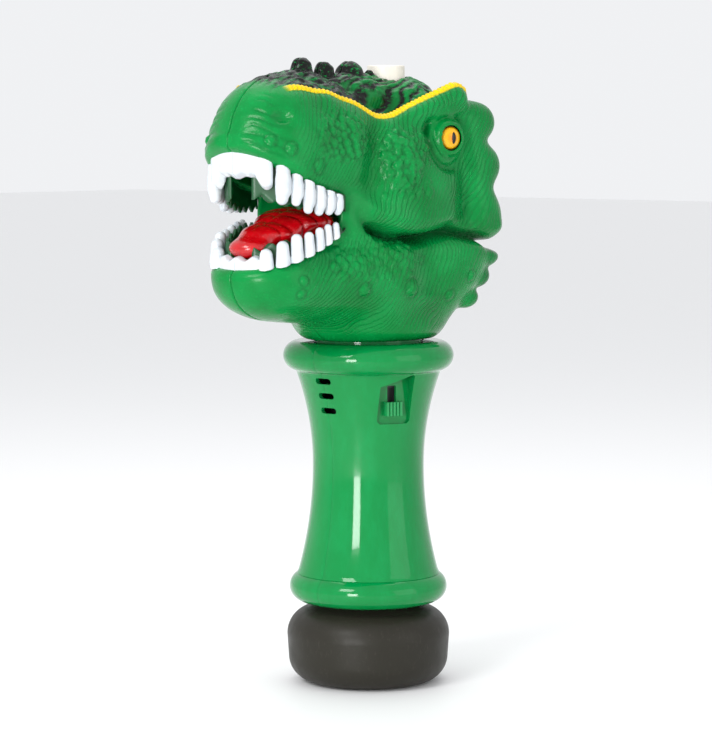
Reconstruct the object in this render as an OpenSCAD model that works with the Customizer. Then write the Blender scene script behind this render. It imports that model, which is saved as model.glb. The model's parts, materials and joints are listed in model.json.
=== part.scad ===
// Hand-held toy dinosaur bubble wand: a hollow head on a waisted handle, standing on its own
// screw-on bottle. Millimetres. +Z is up, the head looks along -Y and the toy's left is +X.
// The origin is the centre of the bottle's flat foot. Pumped liquid and a small fan meet in
// the outlet on top of the head.

/* [Bottle] */
// Bottle diameter
bottle_d = 66; // [56:1:80]
// Bottle body height
bottle_h = 32; // [24:1:36]
// Edge radius of the bottle body
bottle_edge = 11; // [4:0.5:14]
// Bottle wall
bottle_wall = 1.8; // [1.2:0.1:3]
// Outer radius of the bottle neck
neck_r = 15.8; // [14:0.1:16]

/* [Handle] */
// Grip radius at the waist
waist_r = 22.5; // [21:0.5:26]
// Height of the waist above the foot
waist_z = 89; // [80:1:98]
// Radius of the grip above the lower rim
grip_low_r = 28; // [26:0.5:30]
// Radius of the grip below the upper rim
grip_top_r = 29; // [27:0.5:31]
// Outer radius of the lower rim
rim_low_r = 32; // [30:0.5:36]
// Outer radius of the upper rim
rim_top_r = 34.5; // [32:0.5:38]
// Half thickness of both rims
rim_t = 6; // [4:0.5:7]
// Shell thickness of the handle
wall = 2; // [1.6:0.1:2.6]
// Length of each front slot
slot_l = 7.8; // [5:0.1:10]
// Height of each front slot
slot_h = 2.4; // [1.5:0.1:3.5]
// Angle of the switch from the front, towards the toy's left
switch_turn = 65; // [50:1:80]
// Travel of the switch knob
switch_travel = 5.5; // [3:0.5:6]

/* [Head] */
// Shell thickness of the head
head_wall = 2.2; // [1.8:0.1:3]
// Lip height at the front of the upper jaw
upper_lip_z = 216; // [212:0.5:222]
// Lip height at the front of the lower jaw
lower_lip_z = 171; // [166:0.5:176]
// Front of the lips
lip_y = -82; // [-86:0.5:-76]
// Where the jaws meet the cheeks
mouth_corner_y = -46; // [-50:0.5:-42]
// Outer radius of the outlet tube
outlet_r = 7.6; // [7:0.1:9]
// Bore radius of the outlet tube
outlet_bore_r = 5.8; // [5:0.1:7]
// Top of the outlet tube
outlet_top_z = 249.5; // [248:0.5:256]
// Teeth behind the front band on each side of the upper jaw
upper_tooth_count = 6; // [4:1:7]
// Teeth behind the front band on each side of the lower jaw
lower_tooth_count = 7; // [5:1:8]

/* [Mechanism] */
// Cell diameter
cell_d = 14.5; // [14:0.1:14.5]
// Cell length
cell_l = 50.5; // [49:0.5:50.5]
// Outer radius of the liquid tube
tube_r = 1.8; // [1.4:0.1:2]
// Bore radius of the liquid tube
tube_bore_r = 1; // [0.6:0.1:1.2]
// Fan wheel radius
fan_r = 17; // [14:0.5:18]

/* [Hidden] */
$fn = 64;
gear_m = 0.8;                      // gear module
pinion_teeth = 10;
gear_teeth = 40;
mid_y = 11;                        // motor, fan and outlet axis
rim_low_z = 39;
rim_top_z = 133;
handle_low_z = rim_low_z - rim_t;
handle_top_z = rim_top_z + rim_t;
opening_r = 21.9;                  // handle top and head bottom opening
boss_r = 3.3;
pin_r = 1.5;
screw_places = [[21.2, 54], [20.5, 121]];   // along y and z
pin_places = [[-21.2, 54], [-18, 104]];
socket_z = 36.2;
neck_top_z = 46;
cell_ring_r = 9.2;
cell_z = 58.5;
carrier_top_z = cell_z + cell_l + 0.6;
pump_y = mid_y - gear_m * (pinion_teeth + gear_teeth) / 2;
pump_floor_z = 151.5;
loop_z = 156.7;
loop_r = 12;
tail_y = pump_y + 7.3;             // where the pump tube's tails end
gear_z = 162;
gear_h = 4;
plate_z = 168;
motor_z = 170.4;
motor_h = 24;
motor_r = 12;
fan_z = 196.2;
fan_h = 17;
shaft_r = 1;
run_gap = 0.05;
dip_y = -11;
board_z = 126;
lens_z = 191;
spigot_z = 230.7;
flange_r = 10.4;
mouth_back_y = -33;
mouth_room_w = 23;                 // half width of the room left for the lining
knob_z = 113;
pocket_w = 14.5;
pocket_low_z = 107;
pocket_h = 19.5;
pocket_floor_r = 21.6;
door_half_w = 13;
door_low_z = 60;
door_top_z = 115;
tooth_arc_r = 24.3;
tooth_arc_y = lip_y + 25;
upper_slope = 17.3 / 36;
lower_slope = 11 / 36;
bump_y = -44;                      // first of the four crown bumps
bump_pitch = 14.5;
bump_z = 247.6;
eye_x = 31;
eye_y = 13.6;
eye_z = 222;
eye_r = 6.5;
far = 200;

// Grip radius at height z: two parabolas that meet at the waist.
function grip_r(z) = z < waist_z
    ? waist_r + (grip_low_r - waist_r) * pow((waist_z - z) / (waist_z - 47), 2)
    : waist_r + (grip_top_r - waist_r) * pow((z - waist_z) / (126 - waist_z), 2);

function grip_points(inset, z0, z1, steps) = concat([[0, z0]],
    [for (i = [0:steps]) let (z = z0 + (z1 - z0) * i / steps) [grip_r(z) - inset, z]],
    [[0, z1]]);

module ring(r_out, r_in, h) {
    difference() {
        cylinder(r = r_out, h = h);
        translate([0, 0, -1])
            cylinder(r = r_in, h = h + 2);
    }
}

// Keeps the side of the seam plane that s (+1 left, -1 right) names.
module half(s) {
    intersection() {
        children();
        translate([s > 0 ? 0 : -far, -far, -far])
            cube([far, 2 * far, 3 * far]);
    }
}

module at_switch() {
    rotate([0, 0, switch_turn - 90])
        children();
}

module bottle_outline(t) {
    r = bottle_d / 2 - t;
    e = bottle_edge - t;
    translate([0, t])
        square([r - e, bottle_h - 2 * t]);
    translate([0, bottle_edge])
        square([r, bottle_h - 2 * bottle_edge]);
    translate([r - e, bottle_edge])
        circle(r = e);
    translate([r - e, bottle_h - bottle_edge])
        circle(r = e);
}

module bottle() {
    color("#2b2a28")
    difference() {
        union() {
            rotate_extrude()
                intersection() {
                    bottle_outline(0);
                    square([far, far]);
                }
            cylinder(r = neck_r, h = neck_top_z);
            for (i = [0:1])
                translate([0, 0, 38 + 3 * i])
                    cylinder(r = neck_r + 0.6, h = 1.4);
        }
        rotate_extrude()
            intersection() {
                bottle_outline(bottle_wall);
                square([far, far]);
            }
        translate([0, 0, bottle_h - 4])
            cylinder(r = neck_r - bottle_wall, h = far);
    }
}

module bottle_seal() {
    color("#3a3a3a")
    translate([0, 0, neck_top_z + 0.3])
        ring(neck_r, neck_r - 2.2, 1.2);
}

module bottle_socket() {
    color("#c9ccc4")
    difference() {
        translate([0, 0, socket_z])
            cylinder(r = 20, h = 14);
        translate([0, 0, socket_z - 1])
            cylinder(r = 17, h = neck_top_z + 2.5 - socket_z);
        translate([0, dip_y, 0])
            cylinder(r = tube_r, h = far);
    }
}

module handle_outline() {
    polygon(grip_points(0, rim_low_z, rim_top_z, 32));
    translate([0, handle_low_z])
        square([rim_low_r - rim_t, 2 * rim_t]);
    translate([rim_low_r - rim_t, rim_low_z])
        circle(r = rim_t);
    translate([0, rim_top_z - rim_t])
        square([rim_top_r - rim_t, 2 * rim_t]);
    translate([rim_top_r - rim_t, rim_top_z])
        circle(r = rim_t);
}

module handle_solid() {
    rotate_extrude()
        handle_outline();
}

module handle_hollow() {
    rotate_extrude() {
        polygon(grip_points(wall, handle_low_z + 3, handle_top_z - 3, 32));
        square([17, 60]);
        translate([0, rim_top_z])
            square([opening_r, 30]);
    }
}

// Two screws hold the halves together at the back, and two pins line them up at the front.
module across_seam(places) {
    for (p = places)
        translate([0, p[0], p[1]])
            rotate([0, 90, 0])
                children();
}

module switch_pocket(grow) {
    at_switch()
        translate([pocket_floor_r - grow, -pocket_w / 2 - grow, pocket_low_z - grow])
            cube([20, pocket_w + 2 * grow, pocket_h + 2 * grow]);
}

// The switch pocket is only in the left half.
module handle_shell(s) {
    difference() {
        intersection() {
            handle_solid();
            union() {
                difference() {
                    handle_solid();
                    handle_hollow();
                }
                if (s > 0)
                    switch_pocket(1.5);
                across_seam(concat(screw_places, pin_places))
                    cylinder(r = boss_r, h = 46, center = true);
            }
        }
        if (s > 0)
            switch_pocket(0);
        // Slot in the pocket floor for the knob's stem.
        if (s > 0)
            at_switch()
                translate([pocket_floor_r - 4, -1.9, knob_z - 2.2])
                    cube([10, 3.8, 4.4 + switch_travel]);
        for (i = [0:2])
            translate([0, -20, 112 + 6 * i])
                rotate([90, 0, 0]) {
                    translate([-(slot_l - slot_h) / 2, -slot_h / 2, 0])
                        cube([slot_l - slot_h, slot_h, 20]);
                    for (s = [-1, 1])
                        translate([s * (slot_l - slot_h) / 2, 0, 0])
                            cylinder(r = slot_h / 2, h = 20);
                }
        translate([-door_half_w - 0.3, 0, door_low_z - 0.3])
            cube([2 * door_half_w + 0.6, 40, door_top_z - door_low_z + 0.6]);
    }
}

module handle_left() {
    color("#12914a")
    difference() {
        union() {
            half(1)
                handle_shell(1);
            across_seam(pin_places)
                translate([0, 0, -7])
                    cylinder(r = pin_r, h = 9);
        }
        across_seam(screw_places)
            cylinder(r = 1.2, h = 20, center = true);
    }
}

module handle_right() {
    color("#12914a")
    difference() {
        half(-1)
            handle_shell(-1);
        across_seam(pin_places)
            translate([0, 0, -8])
                cylinder(r = pin_r + 0.08, h = 12);
        across_seam(screw_places)
            translate([0, 0, -11])
                cylinder(r = 1.3, h = 16);
        // The heads sink into twelve-sided wells from the right.
        across_seam(screw_places)
            translate([0, 0, -40])
                cylinder(r = 2.6, h = 30, $fn = 12);
    }
}

module case_screws() {
    color("#9a9ca0")
    across_seam(screw_places) {
        translate([0, 0, -10])
            cylinder(r = 1.2, h = 16);
        difference() {
            translate([0, 0, -12])
                cylinder(r = 2.2, h = 2);
            translate([-0.4, -1.6, -13])
                cube([0.8, 3.2, 2]);
            translate([-1.6, -0.4, -13])
                cube([3.2, 0.8, 2]);
        }
    }
}

module switch_body() {
    color("#26262a")
    at_switch()
        difference() {
            translate([16.8, -4.5, knob_z - 5.5])
                cube([3, 9, 15]);
            translate([18.4, -2.2, knob_z - 2.6])
                cube([5, 4.4, 5.2 + switch_travel]);
        }
}

module switch_knob() {
    color("#35b066")
    at_switch() {
        translate([22, -3.75, knob_z - 2.75])
            cube([2.1, 7.5, 5.5]);
        for (i = [0:4])
            translate([24, -3.4 + 1.45 * i, knob_z - 2.75])
                cube([0.7, 0.9, 5.5]);
        translate([18.8, -1.5, knob_z - 1.7])
            cube([3.4, 3, 3.4]);
    }
}

// Three cells stand in a ring; the two front ones leave room for the suction tube.
module cell_places() {
    for (a = [90, 210, 330])
        rotate([0, 0, a])
            translate([cell_ring_r, 0, 0])
                children();
}

module battery_carrier() {
    color("#3b3f42")
    difference() {
        union() {
            translate([0, 0, cell_z - 3.7])
                cylinder(r = 17, h = 1.6);
            translate([0, 0, carrier_top_z])
                cylinder(r = 16.5, h = 1.8);
            translate([0, 0, cell_z - 3.7])
                cylinder(r = 1.6, h = carrier_top_z - cell_z + 4);
            translate([-3, 12, carrier_top_z])
                cube([6, 7.4, 4.6]);
        }
        translate([0, dip_y, 0])
            cylinder(r = tube_r + 0.5, h = far);
        translate([0, 10, carrier_top_z + 2.6])
            rotate([-90, 0, 0])
                cylinder(r = 0.95, h = 20);
    }
}

module cells() {
    color("#4a4e55")
    cell_places() {
        translate([0, 0, cell_z])
            cylinder(d = cell_d, h = cell_l - 1.4);
        translate([0, 0, cell_z + cell_l - 1.4])
            cylinder(r = 2.7, h = 1.4);
    }
}

module contact_springs() {
    color("#b9bcc0")
    cell_places()
        for (i = [0:2])
            translate([0, 0, cell_z - 1.75 + 0.56 * i])
                ring(3.6 - 0.4 * i, 2.9 - 0.4 * i, 0.56);
}

module contact_plates() {
    color("#c9a550")
    cell_places()
        translate([0, 0, cell_z + cell_l + 0.05])
            cylinder(r = 4.2, h = 0.5);
}

module battery_leads() {
    color("#b02020")
    for (s = [-1, 1])
        translate([3 * s, 7, carrier_top_z + 1.8])
            cylinder(r = 0.7, h = board_z - carrier_top_z - 1.8);
}

// The door is the missing piece of the grip, so it follows the same outline.
module battery_door() {
    color("#12914a")
    difference() {
        intersection() {
            difference() {
                handle_solid();
                handle_hollow();
            }
            translate([-door_half_w, 0, door_low_z])
                cube([2 * door_half_w, 40, door_top_z - door_low_z]);
        }
        translate([0, 10, carrier_top_z + 2.6])
            rotate([-90, 0, 0])
                cylinder(r = 1.3, h = 30);
        translate([0, 23.6, carrier_top_z + 2.6])
            rotate([-90, 0, 0])
                cylinder(r = 2.4, h = 30);
    }
}

module door_screw() {
    color("#9a9ca0")
    translate([0, 0, carrier_top_z + 2.6])
        rotate([-90, 0, 0])
            difference() {
                union() {
                    translate([0, 0, 15])
                        cylinder(r = 0.9, h = 9);
                    translate([0, 0, 23.6])
                        cylinder(r = 2.1, h = 1.1);
                }
                translate([-1.6, -0.35, 24.2])
                    cube([3.2, 0.7, 2]);
            }
}

module circuit_board() {
    color("#1e6b3a")
    translate([-12, 0, board_z])
        cube([24, 16, 1.6]);
    for (s = [-1, 1])
        translate([6 * s - 2.5, 5, board_z + 1.6])
            cube([5, 4, 1.4]);
}

module motor_leads() {
    color("#b02020")
    for (s = [-1, 1])
        translate([8 * s, 15, board_z + 1.6])
            cylinder(r = 0.7, h = motor_z - board_z - 1.6);
}

module neck_collar() {
    color("#0f7a3e")
    translate([0, 0, rim_top_z + 0.6])
        ring(opening_r - 0.1, opening_r - 2, 13.4);
}

// The head is built from stretched balls, c centre and r radii, each drawn in by t.
module ball(c, r, t) {
    translate(c)
        scale([r[0] - t, r[1] - t, r[2] - t])
            sphere(r = 1, $fn = 36);
}

module snout_form(t) {
    hull() {
        ball([0, -57, 219], [25, 27, 26], t);
        ball([0, -32, 212], [31, 22, 28], t);
        ball([0, -8, 207], [34, 16, 24], t);
    }
    hull() {
        ball([0, -46, 233], [16, 18, 14], t);
        ball([0, 8, 232], [18, 18, 13.5], t);
    }
}

module skull_form(t) {
    hull() {
        ball([0, -8, 208], [34, 16, 23], t);
        for (s = [-1, 1]) {
            ball([20 * s, 16, 225], [15, 17, 18.5], t);
            ball([21 * s, 27, 192], [17, 18.5, 18], t);
        }
        ball([0, 12, 196], [38, 30, 30], t);
    }
}

module jaw_form(t) {
    hull() {
        ball([0, -57, 164], [23, 24, 14], t);
        ball([0, -20, 166], [34, 25, 26], t);
        ball([0, 16, 172], [37, 29.5, 31.5], t);
        translate([0, 0, handle_top_z + 0.4 + t])
            cylinder(r = opening_r + 3 - t, h = 3);
    }
}

module head_form(t) {
    snout_form(t);
    skull_form(t);
    jaw_form(t);
}

function upper_z(y) = upper_lip_z - upper_slope * (y - lip_y);
function lower_z(y) = lower_lip_z + lower_slope * (y - lip_y);

// Side outline of the open mouth, let out by g.
module mouth_outline(g, back) {
    polygon([
        [-110, upper_z(-110) + 1.15 * g],
        [mouth_corner_y, upper_z(mouth_corner_y) + 1.15 * g],
        [back, lens_z + 7 + g],
        [back, lens_z - 6 - g],
        [mouth_corner_y, lower_z(mouth_corner_y) - 1.05 * g],
        [-110, lower_z(-110) - 1.05 * g]]);
}

module along_x(half_w) {
    rotate([90, 0, 90])
        translate([0, 0, -half_w])
            linear_extrude(2 * half_w)
                children();
}

module head_half(s) {
    // The mesh of the whole moulding is kept in one piece.
    resize([0, 0, 0])
    half(s)
        difference() {
            union() {
                head_form(0);
                for (i = [0:3])
                    translate([0, bump_y + bump_pitch * i, bump_z - 0.9 * i])
                        sphere(r = i == 2 ? 5.4 : 4.6, $fn = 28);
            }
            difference() {
                head_form(head_wall);
                translate([-far, -far, -far])
                    cube([2 * far, 2 * far, far + handle_top_z + 2.4]);
            }
            along_x(60)
                mouth_outline(0, mouth_corner_y + 0.5);
            cylinder(r = opening_r, h = 148);
            translate([0, mid_y, 210])
                cylinder(r = outlet_r + 0.3, h = 60);
            translate([eye_x * s, eye_y, eye_z])
                sphere(r = eye_r + 0.3, $fn = 36);
            // Room behind the lips for the lining and the root of the tongue.
            along_x(mouth_room_w)
                intersection() {
                    mouth_outline(2.4, mouth_back_y + 2.4);
                    translate([mouth_corner_y, 100])
                        square([30, 200]);
                }
        }
}

module head_left() {
    color("#12914a")
    head_half(1);
}

module head_right() {
    color("#12914a")
    head_half(-1);
}

module mouth_liner() {
    color("#0b4f2a")
    resize([0, 0, 0])
    difference() {
        intersection() {
            head_form(head_wall + 0.3);
            along_x(60)
                mouth_outline(2, mouth_back_y + 2);
            translate([-far, -far, 0])
                cube([2 * far, far + mouth_back_y + 2, far + 100]);
        }
        along_x(60)
            mouth_outline(0, mouth_back_y);
        translate([0, mouth_back_y - 5, lens_z])
            rotate([-90, 0, 0])
                cylinder(r = 2.8, h = 20);
    }
}

// Everything below (s = -1) or above (s = +1) a lip plane, moved in by d.
module lip_side(upper, d) {
    along_x(60)
        polygon(upper
            ? [[-110, upper_z(-110) - d], [-20, upper_z(-20) - d], [-20, 60], [-110, 60]]
            : [[-110, lower_z(-110) + d], [-20, lower_z(-20) + d], [-20, 300], [-110, 300]]);
}

// Place k of n along one side of the tooth line, from the end of the front band back.
function tooth_x(k, n, spread) = let (f = k / (n - 1))
    tooth_arc_r * sin(min(90, 50 + 70 * f)) + spread * f;
function tooth_y(k, n, back) = let (f = k / (n - 1))
    (tooth_arc_y - tooth_arc_r * cos(50)) * (1 - f) + back * f;

module tooth_band(s, upper, r_out, depth) {
    intersection() {
        half(s)
            translate([0, tooth_arc_y, 140])
                ring(r_out, r_out - 3, 90);
        translate([-60, tooth_arc_y - 60, 100])
            cube([120, 60 - r_out * cos(42), 200]);
        lip_side(upper, 0.05);
        difference() {
            translate([-60, -120, 100])
                cube([120, 120, 200]);
            lip_side(upper, depth);
        }
    }
}

// The strip that the separate teeth stand on, one straight length from each to the next.
module tooth_rail(s, upper, n, inset) {
    intersection() {
        for (k = [-1:n - 2]) {
            a = [s * (k < 0 ? 14.6 : tooth_x(k, n, 3.2) - inset),
                k < 0 ? tooth_arc_y - 18.5 : tooth_y(k, n, mouth_corner_y - 1.5)];
            b = [s * (tooth_x(k + 1, n, 3.2) - inset), tooth_y(k + 1, n, mouth_corner_y - 1.5)];
            translate([a[0], a[1], 140])
                rotate([0, 0, atan2(b[1] - a[1], b[0] - a[0])])
                    translate([0, -0.8, 0])
                        cube([norm(b - a), 1.6, 100]);
        }
        lip_side(upper, 0.05);
        difference() {
            translate([-60, -120, 100])
                cube([120, 120, 200]);
            lip_side(upper, 2);
        }
    }
}

module upper_teeth(s) {
    n = upper_tooth_count;
    tooth_band(s, true, tooth_arc_r + 1, 8.5);
    for (k = [0:n - 1]) {
        y = tooth_y(k, n, mouth_corner_y - 1.5);
        r = k == 0 ? 3.1 : 2.4 - 0.12 * k;
        len = k == 0 ? 15 : 13.4 - 1.3 * k;
        z = upper_z(y);
        intersection() {
            translate([s * tooth_x(k, n, 3.2), y, 0])
                union() {
                    translate([0, 0, z - len + r])
                        sphere(r = r * 0.8);
                    translate([0, 0, z - len + r])
                        cylinder(r1 = r * 0.8, r2 = r, h = len + 2);
                }
            lip_side(true, 0.05);
        }
    }
    tooth_rail(s, true, n, 0);
}

module lower_teeth(s) {
    n = lower_tooth_count;
    tooth_band(s, false, tooth_arc_r - 0.5, 5);
    for (k = [0:n - 1]) {
        y = tooth_y(k, n, mouth_corner_y - 1.5);
        r = 2.6 - 0.16 * k;
        len = 7.4 - 0.25 * k;
        z = lower_z(y);
        intersection() {
            translate([s * (tooth_x(k, n, 3.2) - 1.5), y, 0])
                union() {
                    translate([0, 0, z + len - r])
                        sphere(r = r * 0.85);
                    translate([0, 0, z - 3])
                        cylinder(r1 = r, r2 = r * 0.85, h = len + 3 - r);
                }
            lip_side(false, 0.05);
        }
    }
    tooth_rail(s, false, n, 1.5);
}

module upper_teeth_left() {
    color("#f4f6f4")
    upper_teeth(1);
}

module upper_teeth_right() {
    color("#f4f6f4")
    upper_teeth(-1);
}

module lower_teeth_left() {
    color("#f4f6f4")
    lower_teeth(1);
}

module lower_teeth_right() {
    color("#f4f6f4")
    lower_teeth(-1);
}

module tongue() {
    color("#c01018")
    intersection() {
        hull() {
            ball([0, -68.4, 178], [8.5, 8.5, 4.5], 0);
            ball([0, -52, 183], [13, 10, 5.5], 0);
            ball([0, -42, 186], [14.5, 7, 5.5], 0);
            ball([0, -44, 180], [13, 7, 4], 0);
            ball([0, -66, 174], [8, 8, 3], 0);
        }
        resize([0, 0, 0])
        lip_side(false, 0.1);
    }
}

module eye(s) {
    color("#e8a820")
    difference() {
        translate([eye_x * s, eye_y, eye_z])
            sphere(r = eye_r);
        translate([s > 0 ? 1 + eye_x - far : -1 - eye_x, -50, 180])
            cube([far, 100, 80]);
    }
}

module eye_left() {
    eye(1);
}

module eye_right() {
    eye(-1);
}

module throat_lens() {
    color("#d8dee0")
    translate([0, mouth_back_y, lens_z])
        rotate([90, 0, 0])
            for (i = [0:2])
                translate([0, 0, 0.9 * i + 0.05])
                    cylinder(r = 5.4 - 1.4 * i, h = 0.95);
}

module light_board() {
    color("#1e6b3a")
    translate([-8, mouth_back_y + 3.4, lens_z - 6])
        cube([16, 1.2, 12]);
}

module throat_light() {
    color("#e6e9ee")
    translate([0, mouth_back_y + 3.4, lens_z])
        rotate([90, 0, 0])
            cylinder(r = 2.5, h = 2.8);
}

module pump_housing() {
    color("#d9dccf")
    difference() {
        union() {
            translate([0, pump_y, pump_floor_z])
                cylinder(r = 16, h = 1.2);
            intersection() {
                translate([0, pump_y, pump_floor_z])
                    ring(15.6, 14.2, 8.4);
                translate([-30, pump_y - 30, 100])
                    cube([60, 30, 100]);
            }
            for (s = [-1, 1]) {
                translate([18.6 * s, pump_y, pump_floor_z])
                    cylinder(r = 1.8, h = plate_z - pump_floor_z);
                translate([s > 0 ? 15 : -18.6, pump_y - 1.8, pump_floor_z])
                    cube([3.6, 3.6, 1.2]);
            }
        }
        translate([0, pump_y, 100])
            cylinder(r = shaft_r, h = 100);
    }
}

module pump_axle() {
    color("#b9bcc0")
    translate([0, pump_y, pump_floor_z])
        cylinder(r = shaft_r, h = plate_z + 1.6 - pump_floor_z);
}

// A toothed wheel with straight-sided teeth, the first one towards +X.
function tooth_corner(teeth, i) = let (
        pitch_r = gear_m * teeth / 2,
        k = i % 4,
        tip = k == 1 || k == 2,
        r = pitch_r + (tip ? 0.62 : -1.05),
        w = tip ? 0.26 : 0.52,
        side = k < 2 ? -1 : 1,
        a = 360 * floor(i / 4) / teeth + side * asin(w / r))
    [r * cos(a), r * sin(a)];

module toothed_wheel(teeth, h) {
    linear_extrude(h)
        polygon([for (i = [0:4 * teeth - 1]) tooth_corner(teeth, i)]);
}

module pump_gear() {
    color("#f0efe6")
    translate([0, pump_y, 0])
        difference() {
            union() {
                translate([0, 0, gear_z])
                    rotate([0, 0, 90 + 180 / gear_teeth])
                        toothed_wheel(gear_teeth, gear_h);
                translate([0, 0, loop_z + 2.9])
                    cylinder(r = 10, h = 1.2);
                translate([0, 0, loop_z + 4])
                    cylinder(r = 4, h = gear_z - loop_z - 4);
                translate([0, 0, loop_z - 2.8])
                    cylinder(r = 3.4, h = 6);
                for (a = [30, 150, 270])
                    rotate([0, 0, a])
                        translate([7.2, 0, loop_z - 2.6])
                            cylinder(r = 1, h = 6);
            }
            translate([0, 0, 100])
                cylinder(r = shaft_r + run_gap, h = 100);
        }
}

module pump_rollers() {
    color("#c8c8c4")
    translate([0, pump_y, loop_z - 2.6])
        for (a = [30, 150, 270])
            rotate([0, 0, a])
                translate([7.2, 0, 0])
                    ring(2.6, 1, 5.2);
}

module pump_tube() {
    color("#dfe6e2")
    translate([0, pump_y, loop_z]) {
        rotate([0, 0, 180])
            rotate_extrude(angle = 180)
                translate([loop_r, 0])
                    difference() {
                        circle(r = tube_r);
                        circle(r = tube_bore_r);
                    }
        for (s = [-1, 1])
            translate([loop_r * s, 0, 0])
                rotate([-90, 0, 0])
                    ring(tube_r, tube_bore_r, 7);
    }
}

function unit(v) = v / norm(v);
function joint_way(p, i) = unit(
    unit(p[min(i + 1, len(p) - 1)] - p[min(i, len(p) - 2)])
    + unit(p[max(i, 1)] - p[max(i - 1, 0)]));
function rim_ring(p, i, r, sides) = let (
        w = joint_way(p, i),
        u = unit(cross(w, [1, 1, 0])),
        v = cross(w, u))
    [for (k = [0:sides - 1]) p[i] + r * (cos(360 * k / sides) * u + sin(360 * k / sides) * v)];

// A hollow tube along the route p: an outer wall, an inner wall and two ring ends.
module tube_along(p, r_out, r_in) {
    m = 12;
    n = len(p);
    outer = [for (i = [0:n - 1]) each rim_ring(p, i, r_out, m)];
    inner = [for (i = [0:n - 1]) each rim_ring(p, i, r_in, m)];
    o = n * m;
    polyhedron(points = concat(outer, inner), faces = [
        for (i = [0:n - 2], k = [0:m - 1]) let (a = i * m + k, b = i * m + (k + 1) % m)
            each [[a, a + m, b + m], [a, b + m, b],
                [o + a, o + b + m, o + a + m], [o + a, o + b, o + b + m]],
        for (k = [0:m - 1]) let (a = k, b = (k + 1) % m)
            each [[a, b, o + b], [a, o + b, o + a]],
        for (k = [0:m - 1]) let (a = (n - 1) * m + k, b = (n - 1) * m + (k + 1) % m)
            each [[a, o + b, b], [a, o + a, o + b]]]);
}

module suction_tube() {
    color("#dfe6e2")
    tube_along([[0, dip_y, 5], [0, dip_y, 60], [0, dip_y, 117], [-1, dip_y + 1, 121],
        [-11, 3, 133], [-12, 5.6, 138], [-12, 7.2, 146], [-12, 7, 152], [-12, 5.4, 155],
        [-12, 2.5, loop_z], [-12, tail_y, loop_z]], tube_r, tube_bore_r);
}

module delivery_tube() {
    color("#dfe6e2")
    tube_along([[12, tail_y, loop_z], [12, tail_y + 1.7, loop_z], [12.8, 3, loop_z + 0.8],
        [16, 6, loop_z + 2.6], [23, 10, loop_z + 8], [25.5, mid_y, loop_z + 14],
        [25.5, mid_y, 219], [24, mid_y, 225], [20.4, mid_y, 229], [16.6, mid_y, spigot_z],
        [flange_r + 0.4, mid_y, spigot_z]], tube_r, tube_bore_r);
}

module mechanism_plate() {
    color("#d9dccf")
    difference() {
        union() {
            translate([-17, -22, plate_z])
                cube([34, 46, 2]);
            for (s = [-1, 1])
                translate([18.6 * s, pump_y, plate_z])
                    cylinder(r = 2.6, h = 2);
        }
        translate([0, pump_y, 100])
            cylinder(r = shaft_r, h = 100);
        translate([0, mid_y, 100])
            cylinder(r = 3.2, h = 100);
        for (s = [-1, 1])
            translate([8 * s, 15, 100])
                cylinder(r = 1, h = 100);
    }
}

module motor() {
    color("#b4b8bc")
    difference() {
        union() {
            translate([0, mid_y, motor_z])
                cylinder(r = motor_r, h = motor_h);
            translate([0, mid_y, motor_z - 1.8])
                cylinder(r = 3, h = 2);
        }
        translate([0, mid_y, 100])
            cylinder(r = shaft_r + run_gap, h = 120);
    }
}

module motor_shaft() {
    color("#d8dadd")
    translate([0, mid_y, gear_z - 1])
        cylinder(r = shaft_r, h = fan_z + fan_h - 3 - gear_z);
}

module pinion() {
    color("#e0c46a")
    translate([0, mid_y, gear_z])
        rotate([0, 0, -90])
            difference() {
                toothed_wheel(pinion_teeth, gear_h);
                translate([0, 0, -1])
                    cylinder(r = shaft_r, h = 10);
            }
}

module impeller() {
    color("#e9e4d2")
    translate([0, mid_y, fan_z + 2])
        difference() {
            union() {
                cylinder(r = fan_r, h = 1.2);
                cylinder(r = 4, h = 9);
                for (i = [0:8])
                    rotate([0, 0, 40 * i])
                        translate([6, -0.5, 1])
                            cube([fan_r - 6.2, 1, 9]);
            }
            translate([0, 0, -1])
                cylinder(r = shaft_r, h = 20);
        }
}

module fan_housing() {
    color("#d9dccf")
    translate([0, mid_y, fan_z])
        difference() {
            cylinder(r = fan_r + 4.5, h = fan_h);
            translate([0, 0, 1.4])
                cylinder(r = fan_r + 3, h = fan_h - 2.8);
            translate([0, 0, -1])
                cylinder(r = 2.4, h = 5);
            for (i = [0:5])
                rotate([0, 0, 60 * i])
                    translate([7, 0, -1])
                        cylinder(r = 2.4, h = 5);
            cylinder(r = 9, h = 40);
        }
}

module air_duct() {
    color("#d9dccf")
    translate([0, mid_y, fan_z + fan_h])
        ring(10.4, 9, 228 - fan_z - fan_h);
}

module outlet_nozzle() {
    color("#f3efe2")
    translate([0, mid_y, 228])
        difference() {
            union() {
                cylinder(r = outlet_r, h = outlet_top_z - 228);
                cylinder(r = flange_r, h = 1.5);
                // The spigot that plugs into the delivery tube.
                translate([outlet_r - 1, 0, spigot_z - 228])
                    rotate([0, 90, 0])
                        cylinder(r = tube_bore_r - 0.1, h = 6.4);
            }
            translate([0, 0, -1])
                cylinder(r = outlet_bore_r, h = 50);
            translate([outlet_bore_r - 1, 0, spigot_z - 228])
                rotate([0, 90, 0])
                    cylinder(r = 0.5, h = 10);
        }
}

module bubble_ring() {
    color("#8fd0c4")
    translate([0, mid_y, outlet_top_z - 7])
        difference() {
            cylinder(r = outlet_bore_r, h = 4);
            translate([0, 0, -1])
                cylinder(r = outlet_bore_r - 1.8, h = 10);
            for (i = [0:11])
                rotate([0, 0, 30 * i])
                    translate([outlet_bore_r - 2.2, -0.4, -1])
                        cube([1.4, 0.8, 10]);
        }
}

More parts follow.
